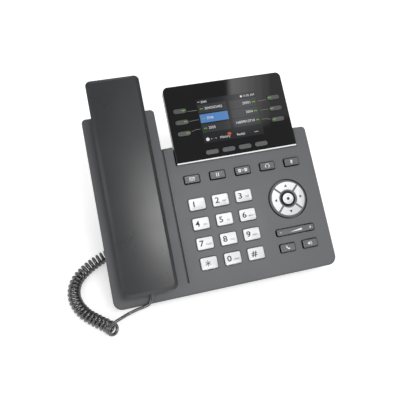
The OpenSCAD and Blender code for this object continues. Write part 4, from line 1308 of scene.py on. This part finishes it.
class Glyph:
    """Flat outlines of the marks on the keys, about their middles, in millimetres."""

    @staticmethod
    def box(x: float, y: float, width: float, height: float) -> list[Flat]:
        """Returns a rectangle."""
        a, b = width / 2, height / 2
        return [(x - a, y - b), (x + a, y - b), (x + a, y + b), (x - a, y + b)]

    @staticmethod
    def disc(x: float, y: float, radius: float, count: int = 20) -> list[Flat]:
        """Returns a circle."""
        turns = (2 * math.pi * k / count for k in range(count))
        return [(x + radius * math.cos(turn), y + radius * math.sin(turn)) for turn in turns]

    @staticmethod
    def band(x: float, y: float, radius: float, width: float, start: float, end: float,
             count: int = 14) -> list[Flat]:
        """Returns a part of a ring.

        Args:
            x: Its middle across.
            y: Its middle up.
            radius: Its middle radius.
            width: Its width.
            start: Where it starts, in degrees.
            end: Where it ends, in degrees.
            count: Steps along it.

        Returns:
            The outline.
        """
        def at(angle: float, reach: float) -> Flat:
            """Returns one point of the outline."""
            turn = math.radians(angle)
            return x + reach * math.cos(turn), y + reach * math.sin(turn)

        steps = [start + (end - start) * k / count for k in range(count + 1)]
        return [at(a, radius + width / 2) for a in steps] + [at(a, radius - width / 2) for a in reversed(steps)]

    @staticmethod
    def placed(points: Sequence[Flat], x: float, y: float, size: float, degrees: float = 0.0) -> list[Flat]:
        """Returns an outline, scaled, turned and moved."""
        turn = math.radians(degrees)
        c, s = math.cos(turn) * size, math.sin(turn) * size
        return [(x + c * px - s * py, y + s * px + c * py) for px, py in points]

    @classmethod
    def receiver(cls, x: float, y: float, size: float, degrees: float) -> Loops:
        """Returns the outline of a small handset, lying along its first axis."""
        shape = [(-1.0, -0.42), (-0.55, -0.42), (-0.5, -0.06), (0.5, -0.06), (0.55, -0.42), (1.0, -0.42),
                 (1.0, 0.0), (0.8, 0.26), (0.4, 0.38), (-0.4, 0.38), (-0.8, 0.26), (-1.0, 0.0)]
        return [cls.placed(shape, x, y, size, degrees)]

    @classmethod
    def envelope(cls) -> Loops:
        """Returns a letter with its flap."""
        return [cls.box(0, 0, 4.0, 2.7), [(-1.6, 0.95), (1.6, 0.95), (0.0, -0.15)],
                [(-1.65, 0.5), (-0.1, -0.6), (0.1, -0.6), (1.65, 0.5), (1.65, -1.0), (-1.65, -1.0)]]

    @classmethod
    def hold(cls) -> Loops:
        """Returns two upright bars."""
        return [cls.box(-0.75, 0, 0.62, 2.9), cls.box(0.75, 0, 0.62, 2.9)]

    @classmethod
    def transfer(cls) -> Loops:
        """Returns two telephones with an arrow between them."""
        body = [(-1.0, -0.9), (1.0, -0.9), (0.62, 0.3), (-0.62, 0.3)]
        dial = cls.disc(0, -0.38, 0.26, 10)
        loops = [cls.placed(shape, side * 2.5, -0.15, 1.15) for side in (-1, 1) for shape in (body, dial)]
        loops += cls.receiver(-2.5, 0.75, 1.35, 0) + cls.receiver(2.5, 0.75, 1.35, 0)
        loops.append([(-0.5, -0.2), (0.05, -0.2), (0.05, -0.55), (0.65, 0.0), (0.05, 0.55), (0.05, 0.2), (-0.5, 0.2)])
        return loops

    @classmethod
    def headset(cls) -> Loops:
        """Returns a headset."""
        return [cls.band(0, 0.1, 1.55, 0.34, -10, 190), cls.box(-1.45, -0.5, 0.75, 1.3), cls.box(1.45, -0.5, 0.75, 1.3),
                cls.band(0.45, -0.75, 1.0, 0.26, -100, -5)]

    @classmethod
    def conference(cls) -> Loops:
        """Returns two paths that join in an arrow."""
        return [[(-0.26, -1.7), (0.26, -1.7), (0.26, 0.75), (-0.26, 0.75)],
                [(-0.95, 0.65), (0.95, 0.65), (0.0, 1.75)],
                cls.placed([(-0.22, -0.9), (0.22, -0.9), (0.22, 0.9), (-0.22, 0.9)], -0.78, -0.55, 0.8, 38)]

    @classmethod
    def call(cls) -> Loops:
        """Returns a lifted handset."""
        return cls.receiver(0, 0, 1.75, 135)

    @classmethod
    def speaker(cls) -> Loops:
        """Returns a loudspeaker with its sound."""
        return [[(-2.0, -0.5), (-1.3, -0.5), (-0.35, -1.25), (-0.35, 1.25), (-1.3, 0.5), (-2.0, 0.5)],
                cls.band(-0.6, 0, 1.15, 0.3, -48, 48, 8), cls.band(-0.6, 0, 1.95, 0.3, -50, 50, 8)]

    @classmethod
    def star(cls, x: float, y: float, radius: float, half: float) -> list[Flat]:
        """Returns a star with six arms."""
        arm = [(radius, -half), (radius, half), (half * math.sqrt(3), half)]
        return [point for number in range(6) for point in cls.placed(arm, x, y, 1.0, 60 * number + 30)]

    @classmethod
    def volume(cls) -> Loops:
        """Returns the minus, the wedge and the plus of the volume key."""
        return [cls.box(-14.6, -0.1, 1.7, 0.42), [(-5.6, -0.95), (6.2, -0.95), (6.2, 0.85)],
                [(14.55, -1.0), (15.05, -1.0), (15.05, -0.25), (15.8, -0.25), (15.8, 0.25), (15.05, 0.25),
                 (15.05, 1.0), (14.55, 1.0), (14.55, 0.25), (13.8, 0.25), (13.8, -0.25), (14.55, -0.25)]]


@dataclass
class Keys:
    """The dial keys, the function keys and the volume key, shaped about their own middles."""

    proud: float = 1.6
    collar_top: float = -2.7
    collar: float = 0.9
    collar_thickness: float = 1.2
    stem_radius: float = 2.0
    stem_end: float = -5.2
    overlap: float = 0.3
    print_lift: float = 0.04
    mark_scale: float = 1.2
    dial_size: Flat = (15.3, 10.8)
    dial_at: Flat = (89.8, 79.3)
    dial_pitch: Flat = (22.3, 18.25)
    function_size: Flat = (14.1, 7.0)
    function_v: float = 103.1
    function_pitch: float = 24.5
    call_at: Flat = (165.3, 23.8)
    call_pitch: float = 22.2
    volume_at: Flat = (176.4, 38.5)
    volume_size: Flat = (36.7, 5.8)
    rim_share: float = 1.8
    dial_radius: float = 1.5
    dial_crown: float = 0.5
    dial_dish: float = 0.12
    function_radius: float = 1.0
    function_crown: float = 0.4
    function_dish: float = 0.06
    volume_radius: float = 1.6
    volume_top: float = 1.3
    volume_dish: float = 0.12
    volume_flange: float = -3.5
    volume_collar: Flat = (0.8, 0.9)
    volume_rim: Flat = (0.9, 0.4)
    rib_radius: float = 0.8
    rib_drop: float = 1.6
    web_height: float = 1.0
    web_drop: float = 1.2
    print_thickness: float = 0.06
    figure_size: float = 7.4
    figure_bold: float = 0.12
    figure_wide: float = 1.16
    figure_x: float = -3.3
    one_x: float = -3.0
    mark_x: float = -1.8
    star_x: float = -1.0
    star_size: Flat = (2.7, 0.3)
    letters_size: float = 2.2
    letters_at: Flat = (3.4, -1.2)
    letters_bold: float = 0.02
    side_top: float = 0.35
    letters: Sequence[tuple[str, str, str]] = (
        ("key_1", "1", ""), ("key_2", "2", "ABC"), ("key_3", "3", "DEF"),
        ("key_4", "4", "GHI"), ("key_5", "5", "JKL"), ("key_6", "6", "MNO"),
        ("key_7", "7", "PQRS"), ("key_8", "8", "TUV"), ("key_9", "9", "WXYZ"),
        ("key_star", "*", ""), ("key_0", "0", "OPER"), ("key_hash", "#", ""))

    def cap(self, name: str, size: Flat, radius: float, crown: float, dish: float) -> Bench:
        """Shapes a key: its cap with a slight dish, its collar and its stem.

        Args:
            name: The key's name.
            size: Its width and height.
            radius: Radius of its corners.
            crown: Width of the rounding of its rim.
            dish: How far its middle lies below its rim.

        Returns:
            The bench.
        """
        bench = Bench.cap(name, size, radius, self.proud, self.collar_top, (self.collar, self.collar_thickness),
                          (crown * self.rim_share, crown), (((0.8, 0.7), dish * 0.6), ((0.6, 0.5), dish * 0.4)))
        length = self.collar_top - self.collar_thickness - self.stem_end + self.overlap
        stem = Bench.cylinder("stem", self.stem_radius, length, (0, 0, self.stem_end + length / 2), 24)
        return bench.join(stem).smooth(40)

    def dial(self) -> None:
        """Makes the twelve dial keys with their figures and letters."""
        model = self.cap("dial_key_model", self.dial_size, self.dial_radius, self.dial_crown, self.dial_dish)
        model.unwrap(*self.dial_size).paint(Finish.KEY_SILVER)
        for index, (node, figure, letters) in enumerate(self.letters):
            at = (self.dial_at[0] + index % 3 * self.dial_pitch[0], self.dial_at[1] - index // 3 * self.dial_pitch[1])
            model.twin(f"{node}_cap").mount(at, node, "silver_key", node)
            self.figure(node, figure, letters, at)
        bpy.data.objects.remove(model.obj)

    def figure(self, node: str, figure: str, letters: str, at: Flat) -> None:
        """Prints one dial key.

        Args:
            node: The key's node.
            figure: Its figure.
            letters: Its letters.
            at: The key's middle.
        """
        top = self.proud - self.dial_dish + self.print_lift
        name, thickness = f"{node}_figure", self.print_thickness
        if figure == "*":
            mark = Bench.flat(name, [Glyph.star(self.star_x, 0.0, *self.star_size)], top + thickness / 2, thickness)
        else:
            x = self.figure_x if letters else (self.one_x if figure == "1" else self.mark_x)
            mark = Bench.text(name, figure, self.figure_size, (x, 0.0, top), bold=self.figure_bold,
                              thickness=thickness, wide=self.figure_wide)
        mark.paint(Finish.INK_DARK)
        if letters:
            small = Bench.text(f"{node}_letters", letters, self.letters_size, (*self.letters_at, top),
                               bold=self.letters_bold, thickness=thickness)
            mark.join(small.paint(Finish.INK_GREY))
        mark.obj.name = f"{node}_print"
        mark.mount(at, node, "silver_key")

    def dark_key(self, node: str, loops: Loops, at: Flat) -> None:
        """Makes a dark key with a white mark.

        Args:
            node: The key's node.
            loops: The mark's outlines.
            at: The key's middle.
        """
        cap = self.cap(f"{node}_cap", self.function_size, self.function_radius, self.function_crown,
                       self.function_dish)
        self.darken(cap).mount(at, node, "dark_key", node)
        loops = [Glyph.placed(loop, 0, 0, self.mark_scale) for loop in loops]
        top = self.proud - self.function_dish + self.print_lift
        mark = Bench.flat(f"{node}_mark", loops, top, self.print_thickness)
        mark.paint(Finish.INK_WHITE).mount(at, node, "dark_key")

    def darken(self, cap: Bench) -> Bench:
        """Gives a cap its dark finish, with its sides painted near black as painted shade of the gap round it."""
        return cap.paint(Finish.KEY_DARK).paint_where(Finish.KEY_SIDE, lambda c, n: n.z < self.side_top)

    def functions(self) -> None:
        """Makes the row of five function keys and the two keys below the volume key."""
        row = (("message_key", Glyph.envelope()), ("hold_key", Glyph.hold()), ("transfer_key", Glyph.transfer()),
               ("headset_key", Glyph.headset()), ("conference_key", Glyph.conference()))
        for index, (node, loops) in enumerate(row):
            self.dark_key(node, loops, (self.dial_at[0] + index * self.function_pitch, self.function_v))
        self.dark_key("call_key", Glyph.call(), self.call_at)
        self.dark_key("speaker_key", Glyph.speaker(), (self.call_at[0] + self.call_pitch, self.call_at[1]))

    def volume(self) -> None:
        """Makes the volume key, which rocks on the rib under it."""
        top, flange, depth = self.volume_top, self.volume_flange, self.volume_size[1]
        bench = Bench.cap("volume_key_cap", self.volume_size, self.volume_radius, top, flange, self.volume_collar,
                          self.volume_rim, [((0.96, 0.75), self.volume_dish)])
        rib = Bench.cylinder("rib", self.rib_radius, depth, (0, 0, 0), 24).turn(90, "X")
        rib.shift(0, 0, flange - self.rib_drop)
        web = Bench.cube("web", (2 * self.rib_radius, depth, self.web_height), (0, 0, flange - self.web_drop))
        self.darken(bench.join(rib, web).smooth(40)).mount(self.volume_at, "volume_rocker", "dark_key", "volume_rocker")
        mark = Bench.flat("volume_key_mark", Glyph.volume(), top - self.volume_dish + self.print_lift,
                          self.print_thickness)
        mark.paint(Finish.INK_WHITE).mount(self.volume_at, "volume_rocker", "dark_key")

    def build(self) -> None:
        """Makes every key of the base."""
        self.dial()
        self.functions()
        self.volume()


# ---- Navigation pad ---------------------------------------------------------------------------------------------


@dataclass
class NavigationPad:
    """The ring of four direction keys and the select key, shaped about their common middle."""

    at: Flat = (176.4, 68.8)
    radius: float = 17.9
    bore: float = 7.0
    key_inner: float = 8.8
    key_outer: float = 16.0
    split: float = 1.9
    top: float = 1.4
    flange_top: float = -3.8
    flange: float = 0.8
    rim: float = 1.7
    key_rim: float = 0.45
    key_fall: float = 0.3
    key_edge: float = 0.22
    mark_radius: float = 1.4
    select_radius: float = 5.3
    select_flange: float = 6.4
    stem_radius: float = 2.0
    stem_end: float = -5.2
    arc_steps: int = 20

    @staticmethod
    def lathe(name: str, profile: Sequence[Flat], steps: int) -> Bench:
        """Spins a closed profile about the upright axis.

        Args:
            name: The piece's name.
            profile: Radii and heights.
            steps: Steps of the spin.

        Returns:
            The bench.
        """
        mesh = bpy.data.meshes.new(name)
        count = len(profile)
        mesh.from_pydata([(r, 0, z) for r, z in profile], [(k, (k + 1) % count) for k in range(count)], [])
        bench = Bench.adopt(name, mesh)
        bench.whole(bpy.ops.mesh.spin, steps=steps, angle=2 * math.pi, center=(0, 0, 0), axis=(0, 0, 1))
        return bench.weld(0.002).outwards()

    def ring(self) -> None:
        """Makes the grey ring that carries the direction keys, with its flange."""
        low = self.flange_top - self.flange
        outer = self.radius + self.rim
        bench = self.lathe("direction_ring", [
            (self.bore, low), (outer, low), (outer, self.flange_top), (self.radius, self.flange_top),
            (self.radius, 0.0), (self.radius - 0.35, 0.35), (self.key_outer + 0.5, self.top - 0.75),
            (self.key_outer + 0.1, self.top - 0.72), (self.key_inner - 0.1, self.top - 0.95),
            (self.bore + 0.5, self.top - 1.0), (self.bore, self.top - 1.35)], 96)
        bench.smooth(32).paint(Finish.NAV_BASE)
        # Painted shade: the inner face round the bore takes the dark key colour, as the recess round the select key
        # lies in shade.
        bench.paint_where(Finish.KEY_DARK, lambda c, n: math.hypot(c.x, c.y) < self.key_inner - 0.2)
        bench.mount(self.at, "nav_ring", "silver_key", "nav_ring")

    def sector(self, name: str) -> Bench:
        """Shapes the direction key that points up.

        Args:
            name: The piece's name.

        Returns:
            The bench.
        """
        outline: list[Flat] = []
        for radius, sign in ((self.key_outer, 1), (self.key_inner, -1)):
            turn = sign * (math.radians(45) - math.asin(self.split / 2 / radius))
            turns = (turn * (1 - 2 * k / self.arc_steps) for k in range(self.arc_steps + 1))
            outline += [(radius * math.sin(a), radius * math.cos(a)) for a in turns]
        bench = Bench.flat(name, [outline], self.top, 1.0)
        bench.front().inset(self.key_rim)
        reach = self.key_inner + self.key_rim + self.key_edge
        bench.points(lambda p: p.z > self.top - HAIR and math.hypot(p.x, p.y) < reach)
        return bench.move((0, 0, -self.key_fall)).soften(self.key_edge, 3, 35).smooth(40)

    def keys(self) -> None:
        """Makes the four silver direction keys in one piece, and the marks on them."""
        first = self.sector("direction_keys")
        first.join(*[first.twin(f"sector_{turn}").turn(turn) for turn in (90, 180, 270)])
        first.unwrap(2 * self.key_outer, 2 * self.key_outer).paint(Finish.NAV_SILVER)
        first.mount(self.at, "nav_ring", "silver_key")
        reach = (self.key_inner + self.key_outer) / 2
        triangle = [(-1.5, reach - 1.1), (1.5, reach - 1.1), (0.0, reach + 1.3)]
        loops = [Glyph.placed(triangle, 0, 0, 1.0, 90 * k) for k in range(4)]
        marks = Bench.flat("direction_marks", loops, self.top + 0.05, 0.1)
        marks.paint(Finish.INK_DARK).mount(self.at, "nav_ring", "silver_key")

    def select(self) -> None:
        """Makes the dished select key and its dot."""
        r, stem, flange = self.select_radius, self.stem_radius, self.select_flange
        low = self.flange_top - self.flange
        bench = self.lathe("select_key", [
            (0.0, self.stem_end), (stem, self.stem_end), (stem, low), (flange, low), (flange, -1.0), (r, -0.6),
            (r, 0.95), (r - 0.18, 1.28), (r - 0.6, 1.42), (r - 1.3, 1.3), (r - 2.6, 1.12), (0.0, 1.0)], 64)
        bench.smooth(40).unwrap(2 * r, 2 * r)
        # Painted shade: the select key's side and flange are painted near black, as they sit in the shaded recess.
        bench.paint(Finish.NAV_SILVER).paint_where(Finish.KEY_SIDE, lambda c, n: c.z < 0.2)
        bench.mount(self.at, "ok_key", "silver_key", "ok_key")
        dot = Bench.flat("select_mark", [Glyph.disc(0, 0, self.mark_radius)], 1.09, 0.06)
        dot.paint(Finish.INK_DARK).mount(self.at, "ok_key", "silver_key")

    def build(self) -> None:
        """Makes the pad."""
        self.ring()
        self.keys()
        self.select()


# ---- Display ----------------------------------------------------------------------------------------------------


@dataclass
class Display:
    """The lens, the lit screen, the display's keys and the polished strip along its lower edge, painted near white as a
    painted highlight.

    The screen is laid out in its own frame, in millimetres from the middle of its lit area. A column of the
    screen has the middle and the width of its rows, and the places of the small handset and of the number.
    """

    lower_left: Flat = (78.8, 118.4)
    size: Flat = (117.8, 75.4)
    front: float = 2.0
    screen_middle: Flat = (137.7, 155.9)
    screen_size: Flat = (59.2, 43.2)
    layer: float = 0.03
    pill_size: Flat = (12.8, 4.5)
    pill_proud: float = 0.5
    pill_back: float = -1.1
    pill_collar: Flat = (0.6, 0.8)
    pill_rim: Flat = (0.5, 0.3)
    soft_pitch: float = 16.1
    soft_v: float = 125.2
    line_pitch: float = 11.05
    line_v: float = 157.7
    line_margin: float = 12.4
    lamp_x: float = 3.6
    leader_half: float = 0.16
    row_height: float = 8.4
    row_text: float = 3.5
    head_text: float = 3.0
    foot_text: float = 3.3
    trim_size: Flat = (1.35, 1.6)
    columns: dict[int, tuple[float, float, float, float]] = field(default_factory=lambda: {
        -1: (-15.0, 27.4, -25.6, -22.6), 1: (15.4, 27.0, 26.2, 23.4)})
    rows: Sequence[tuple[int, float, str, Finish]] = (
        (-1, 12.0, "2043502402", Finish.SCREEN_ROW), (-1, 2.4, "2046", Finish.SCREEN_BLUE),
        (-1, -7.3, "2055", Finish.SCREEN_ROW), (1, 11.4, "20501", Finish.SCREEN_ROW),
        (1, 2.3, "2054", Finish.SCREEN_ROW), (1, -6.8, "16809013710", Finish.SCREEN_ROW))

    def trim(self) -> None:
        """Makes the polished strip along the lower edge of the display, painted near white as a painted highlight."""
        u, v = self.lower_left
        bench = Bench.cube("display_trim", (self.size[0] - 0.6, *self.trim_size),
                           (u + self.size[0] / 2, v + 0.42, self.front - 0.76))
        bench.edges(lambda a, b: abs(a.x - b.x) > 10 and a.z > self.front - 0.1).bevel(0.3, 3)
        bench.smooth(50).paint(Finish.TRIM).place(FACE.matrix(), "base", "bezel")

    def mark(self, name: str, loop: Sequence[Flat], finish: Finish, level: int = MARK_LEVEL) -> Bench:
        """Lays a flat mark on the screen."""
        return Bench.flat(name, [loop], self.front + level * self.layer, self.layer).paint(finish)

    def patch(self, name: str, x: float, y: float, width: float, height: float, finish: Finish, level: int,
              radius: float = 0.0) -> Bench:
        """Lays a lit patch on the screen.

        Args:
            name: The piece's name.
            x: Its middle across, from the screen's middle.
            y: Its middle up, from the screen's middle.
            width: Its width.
            height: Its height.
            finish: Its finish.
            level: Its layer on the glass.
            radius: Radius of its corners.

        Returns:
            The bench, still in the screen's frame.
        """
        outline = Glyph.box(x, y, width, height)
        if radius:
            corners = ((1, 1, 0), (-1, 1, 90), (-1, -1, 180), (1, -1, 270))
            turns = [(sx, sy, math.radians(start + 18 * k)) for sx, sy, start in corners for k in range(6)]
            outline = [(x + sx * (width / 2 - radius) + radius * math.cos(turn),
                        y + sy * (height / 2 - radius) + radius * math.sin(turn)) for sx, sy, turn in turns]
        return self.mark(name, outline, finish, level)

    def words(self, name: str, body: str, x: float, y: float, size: float, finish: Finish,
              align: Align = Align.LEFT) -> Bench:
        """Sets figures or a word on the screen."""
        height = self.front + MARK_LEVEL * self.layer
        return Bench.text(name, body, size, (x, y, height), align, 0.0, self.layer).paint(finish)

    def row(self, side: int, y: float, number: str, finish: Finish) -> list[Bench]:
        """Draws the row of one line on the screen.

        Args:
            side: -1 for the left column and 1 for the right one.
            y: Its middle up.
            number: Its number.
            finish: Its finish.

        Returns:
            Its patch, its small green handset and its number.
        """
        x, width, mark, text = self.columns[side]
        return [self.patch("row", x, y, width, self.row_height, finish, 2, 0.4),
                self.mark("row_mark", *Glyph.receiver(mark, y, 1.5, 0), Finish.SCREEN_GREEN),
                self.words("row_text", number, text, y, self.row_text, Finish.SCREEN_TEXT,
                           Align.RIGHT if side > 0 else Align.LEFT)]

    def screen(self) -> None:
        """Draws what the screen shows, as one piece."""
        half_w, half_h = self.screen_size[0] / 2, self.screen_size[1] / 2
        head, foot = half_h - 3.0, -half_h + 3.4
        text, red = Finish.SCREEN_TEXT, Finish.SCREEN_RED
        parts = [self.patch("screen_content", 0, 0, *self.screen_size, Finish.SCREEN_OFF, 1)]
        for side, y, number, finish in self.rows:
            parts += self.row(side, y, number, finish)
        parts += [
            self.words("status", "2045", -half_w + 4.4, head, self.head_text, text),
            self.mark("status_mark", Glyph.band(-half_w + 2.4, head - 0.4, 1.0, 0.35, 20, 160), text),
            self.words("clock", "11:05 AM", half_w - 1.2, head, self.head_text, text, Align.RIGHT),
            self.mark("globe", Glyph.disc(half_w - 14.6, head, 1.05, 16), text),
            self.mark("home", Glyph.disc(-half_w + 4.0, foot, 1.7), Finish.SCREEN_WHITE)]
        parts += [self.mark("dot", Glyph.disc(-half_w + 7.6 + 2.2 * k, foot, 0.42, 10), finish)
                  for k, finish in enumerate((text, red, text))]
        parts += [
            self.words("soft_1", "History", -half_w + 21.0, foot, self.foot_text, text, Align.CENTER),
            self.patch("badge", -half_w + 25.6, foot + 2.3, 3.6, 2.4, red, 3, 1.0),
            self.words("soft_2", "Redial", -half_w + 36.6, foot, self.foot_text, text, Align.CENTER)]
        parts += [self.mark("more", Glyph.disc(half_w - 8.6 + 1.5 * k, foot, 0.4, 10), text) for k in range(3)]
        parts[0].join(*parts[1:]).mount(self.screen_middle, "base", "screen")

    def leaders(self) -> None:
        """Prints the thin lines from the line keys to the rows of the screen."""
        loops = []
        x_key = self.size[0] / 2 - self.line_margin - self.pill_size[0] / 2 - 0.8
        x_screen = self.screen_size[0] / 2 + 0.8
        middle_v = self.line_v - self.screen_middle[1]
        for side in (-1, 1):
            for row, target in ((1, 11.4), (0, 2.0), (-1, -7.2)):
                key_y = middle_v + row * self.line_pitch
                path = [(x_key, key_y - row * 1.0), (x_key - 2.2, key_y - row * 1.3), (x_key - 3.6, target),
                        (x_screen, target)]
                loops.append([(side * x, y + self.leader_half) for x, y in path]
                             + [(side * x, y - self.leader_half) for x, y in reversed(path)])
        bench = Bench.flat("leader_lines", loops, self.front + self.layer, self.layer).paint(Finish.INK_LINE)
        bench.mount(self.screen_middle, "base", "lens")

    def pill(self, node: str, at: Flat) -> None:
        """Makes one pill-shaped key.

        Args:
            node: Its node.
            at: Its middle.
        """
        top = self.front + self.pill_proud
        bench = Bench.cap(f"{node}_cap", self.pill_size, self.pill_size[1] / 2 - 0.05, top, self.pill_back,
                          self.pill_collar, self.pill_rim)
        bench.smooth(40).paint(Finish.PILL).mount(at, node, "pill_key", node)

    def keys(self) -> None:
        """Makes the soft keys and the line keys, with a lamp in each line key."""
        for k in range(4):
            self.pill(f"soft_key_{k + 1}", (self.screen_middle[0] + 0.3 + (k - 1.5) * self.soft_pitch, self.soft_v))
        for k in range(6):
            side = -1 if k < 3 else 1
            at = (self.screen_middle[0] + side * (self.size[0] / 2 - self.line_margin),
                  self.line_v + (1 - k % 3) * self.line_pitch)
            node = f"line_key_{k + 1}"
            self.pill(node, at)
            x = -side * self.lamp_x
            loops = [Glyph.box(x - 0.85, 0.1, 1.3, 1.1), Glyph.box(x + 0.85, 0.1, 1.3, 1.1),
                     Glyph.box(x, 0.1, 0.5, 0.4)]
            lamp = Bench.flat(f"{node}_lamp", loops, self.front + self.pill_proud + 0.04, 0.06)
            lamp.paint(Finish.LAMP_GREEN).mount(at, node, "pill_key")

    def build(self) -> None:
        """Makes the display's pieces."""
        self.trim()
        self.screen()
        self.leaders()
        self.keys()


# ---- Housing ----------------------------------------------------------------------------------------------------


@dataclass
class Housing:
    """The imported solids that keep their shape, and the edges that are softened on copies of them."""

    softened: Sequence[tuple[str, str, str, Finish, float]] = (
        ("front_housing", "base", "housing", Finish.HOUSING, 0.0005),
        ("rear_housing", "base", "housing", Finish.REAR, 0.0005),
        ("display_cover", "base", "housing", Finish.REAR, 0.0005),
        ("stand", "base", "housing", Finish.REAR, 0.0006),
        ("display_bezel", "base", "bezel", Finish.BEZEL, 0.0005),
        ("handset_shell", "handset", "handset_plastic", Finish.HANDSET_BACK, 0.0005))
    dressed: Sequence[tuple[Finish, Sequence[str]]] = (
        (Finish.GLASS, ("display_lens",)),
        (Finish.BOARD, ("main_board",)),
        (Finish.SILICONE, ("key_mat", "nav_rubber")),
        (Finish.CONE, ("loudspeaker",)),
        (Finish.SOCKET, ("lcd_module", "network_jacks", "cord_jacks", "power_jack", "handset_jack")),
        (Finish.STEEL, ("housing_screws", "handset_screws", "ear_receiver", "microphone")),
        (Finish.RUBBER, ("rubber_feet",)),
        (Finish.HANDSET_BACK, ("hook_switch",)),
        (Finish.CORD, ("handset_plug", "base_plug")))

    def dress(self, nodes: dict[str, bpy.types.Object]) -> None:
        """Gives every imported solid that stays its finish.

        Args:
            nodes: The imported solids, by name.
        """
        for finish, names in self.dressed:
            for name in names:
                nodes[name].data.materials.clear()
                nodes[name].data.materials.append(finish.material)
                LOG.info("%s is dressed", name)

    def round_off(self, nodes: dict[str, bpy.types.Object]) -> None:
        """Replaces the large solids by copies with rounded edges.

        Args:
            nodes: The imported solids, by name.
        """
        for name, body, slot, finish, width in self.softened:
            bench = Bench.from_node(f"{name}_moulding", nodes[name])
            bench.soften(width, 2, 35, clamp=False).smooth(40).paint(finish)
            bench.place(Matrix.Identity(4), body, slot, name)

    def build(self, nodes: dict[str, bpy.types.Object]) -> None:
        """Dresses the solids."""
        self.dress(nodes)
        self.round_off(nodes)


def main() -> None:
    """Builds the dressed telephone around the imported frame."""
    logging.basicConfig(level=logging.INFO, format="%(message)s")
    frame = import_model()
    bpy.context.scene.view_settings.view_transform = "Standard"
    stage = Stage()
    stage.camera()
    Cord().build()
    stage.floor()
    stage.world()
    stage.light()
    Housing().build(frame["nodes"])
    Handset().build()
    Display().build()
    Keys().build()
    NavigationPad().build()
    Bench.clear()


if __name__ == "__main__":
    main()
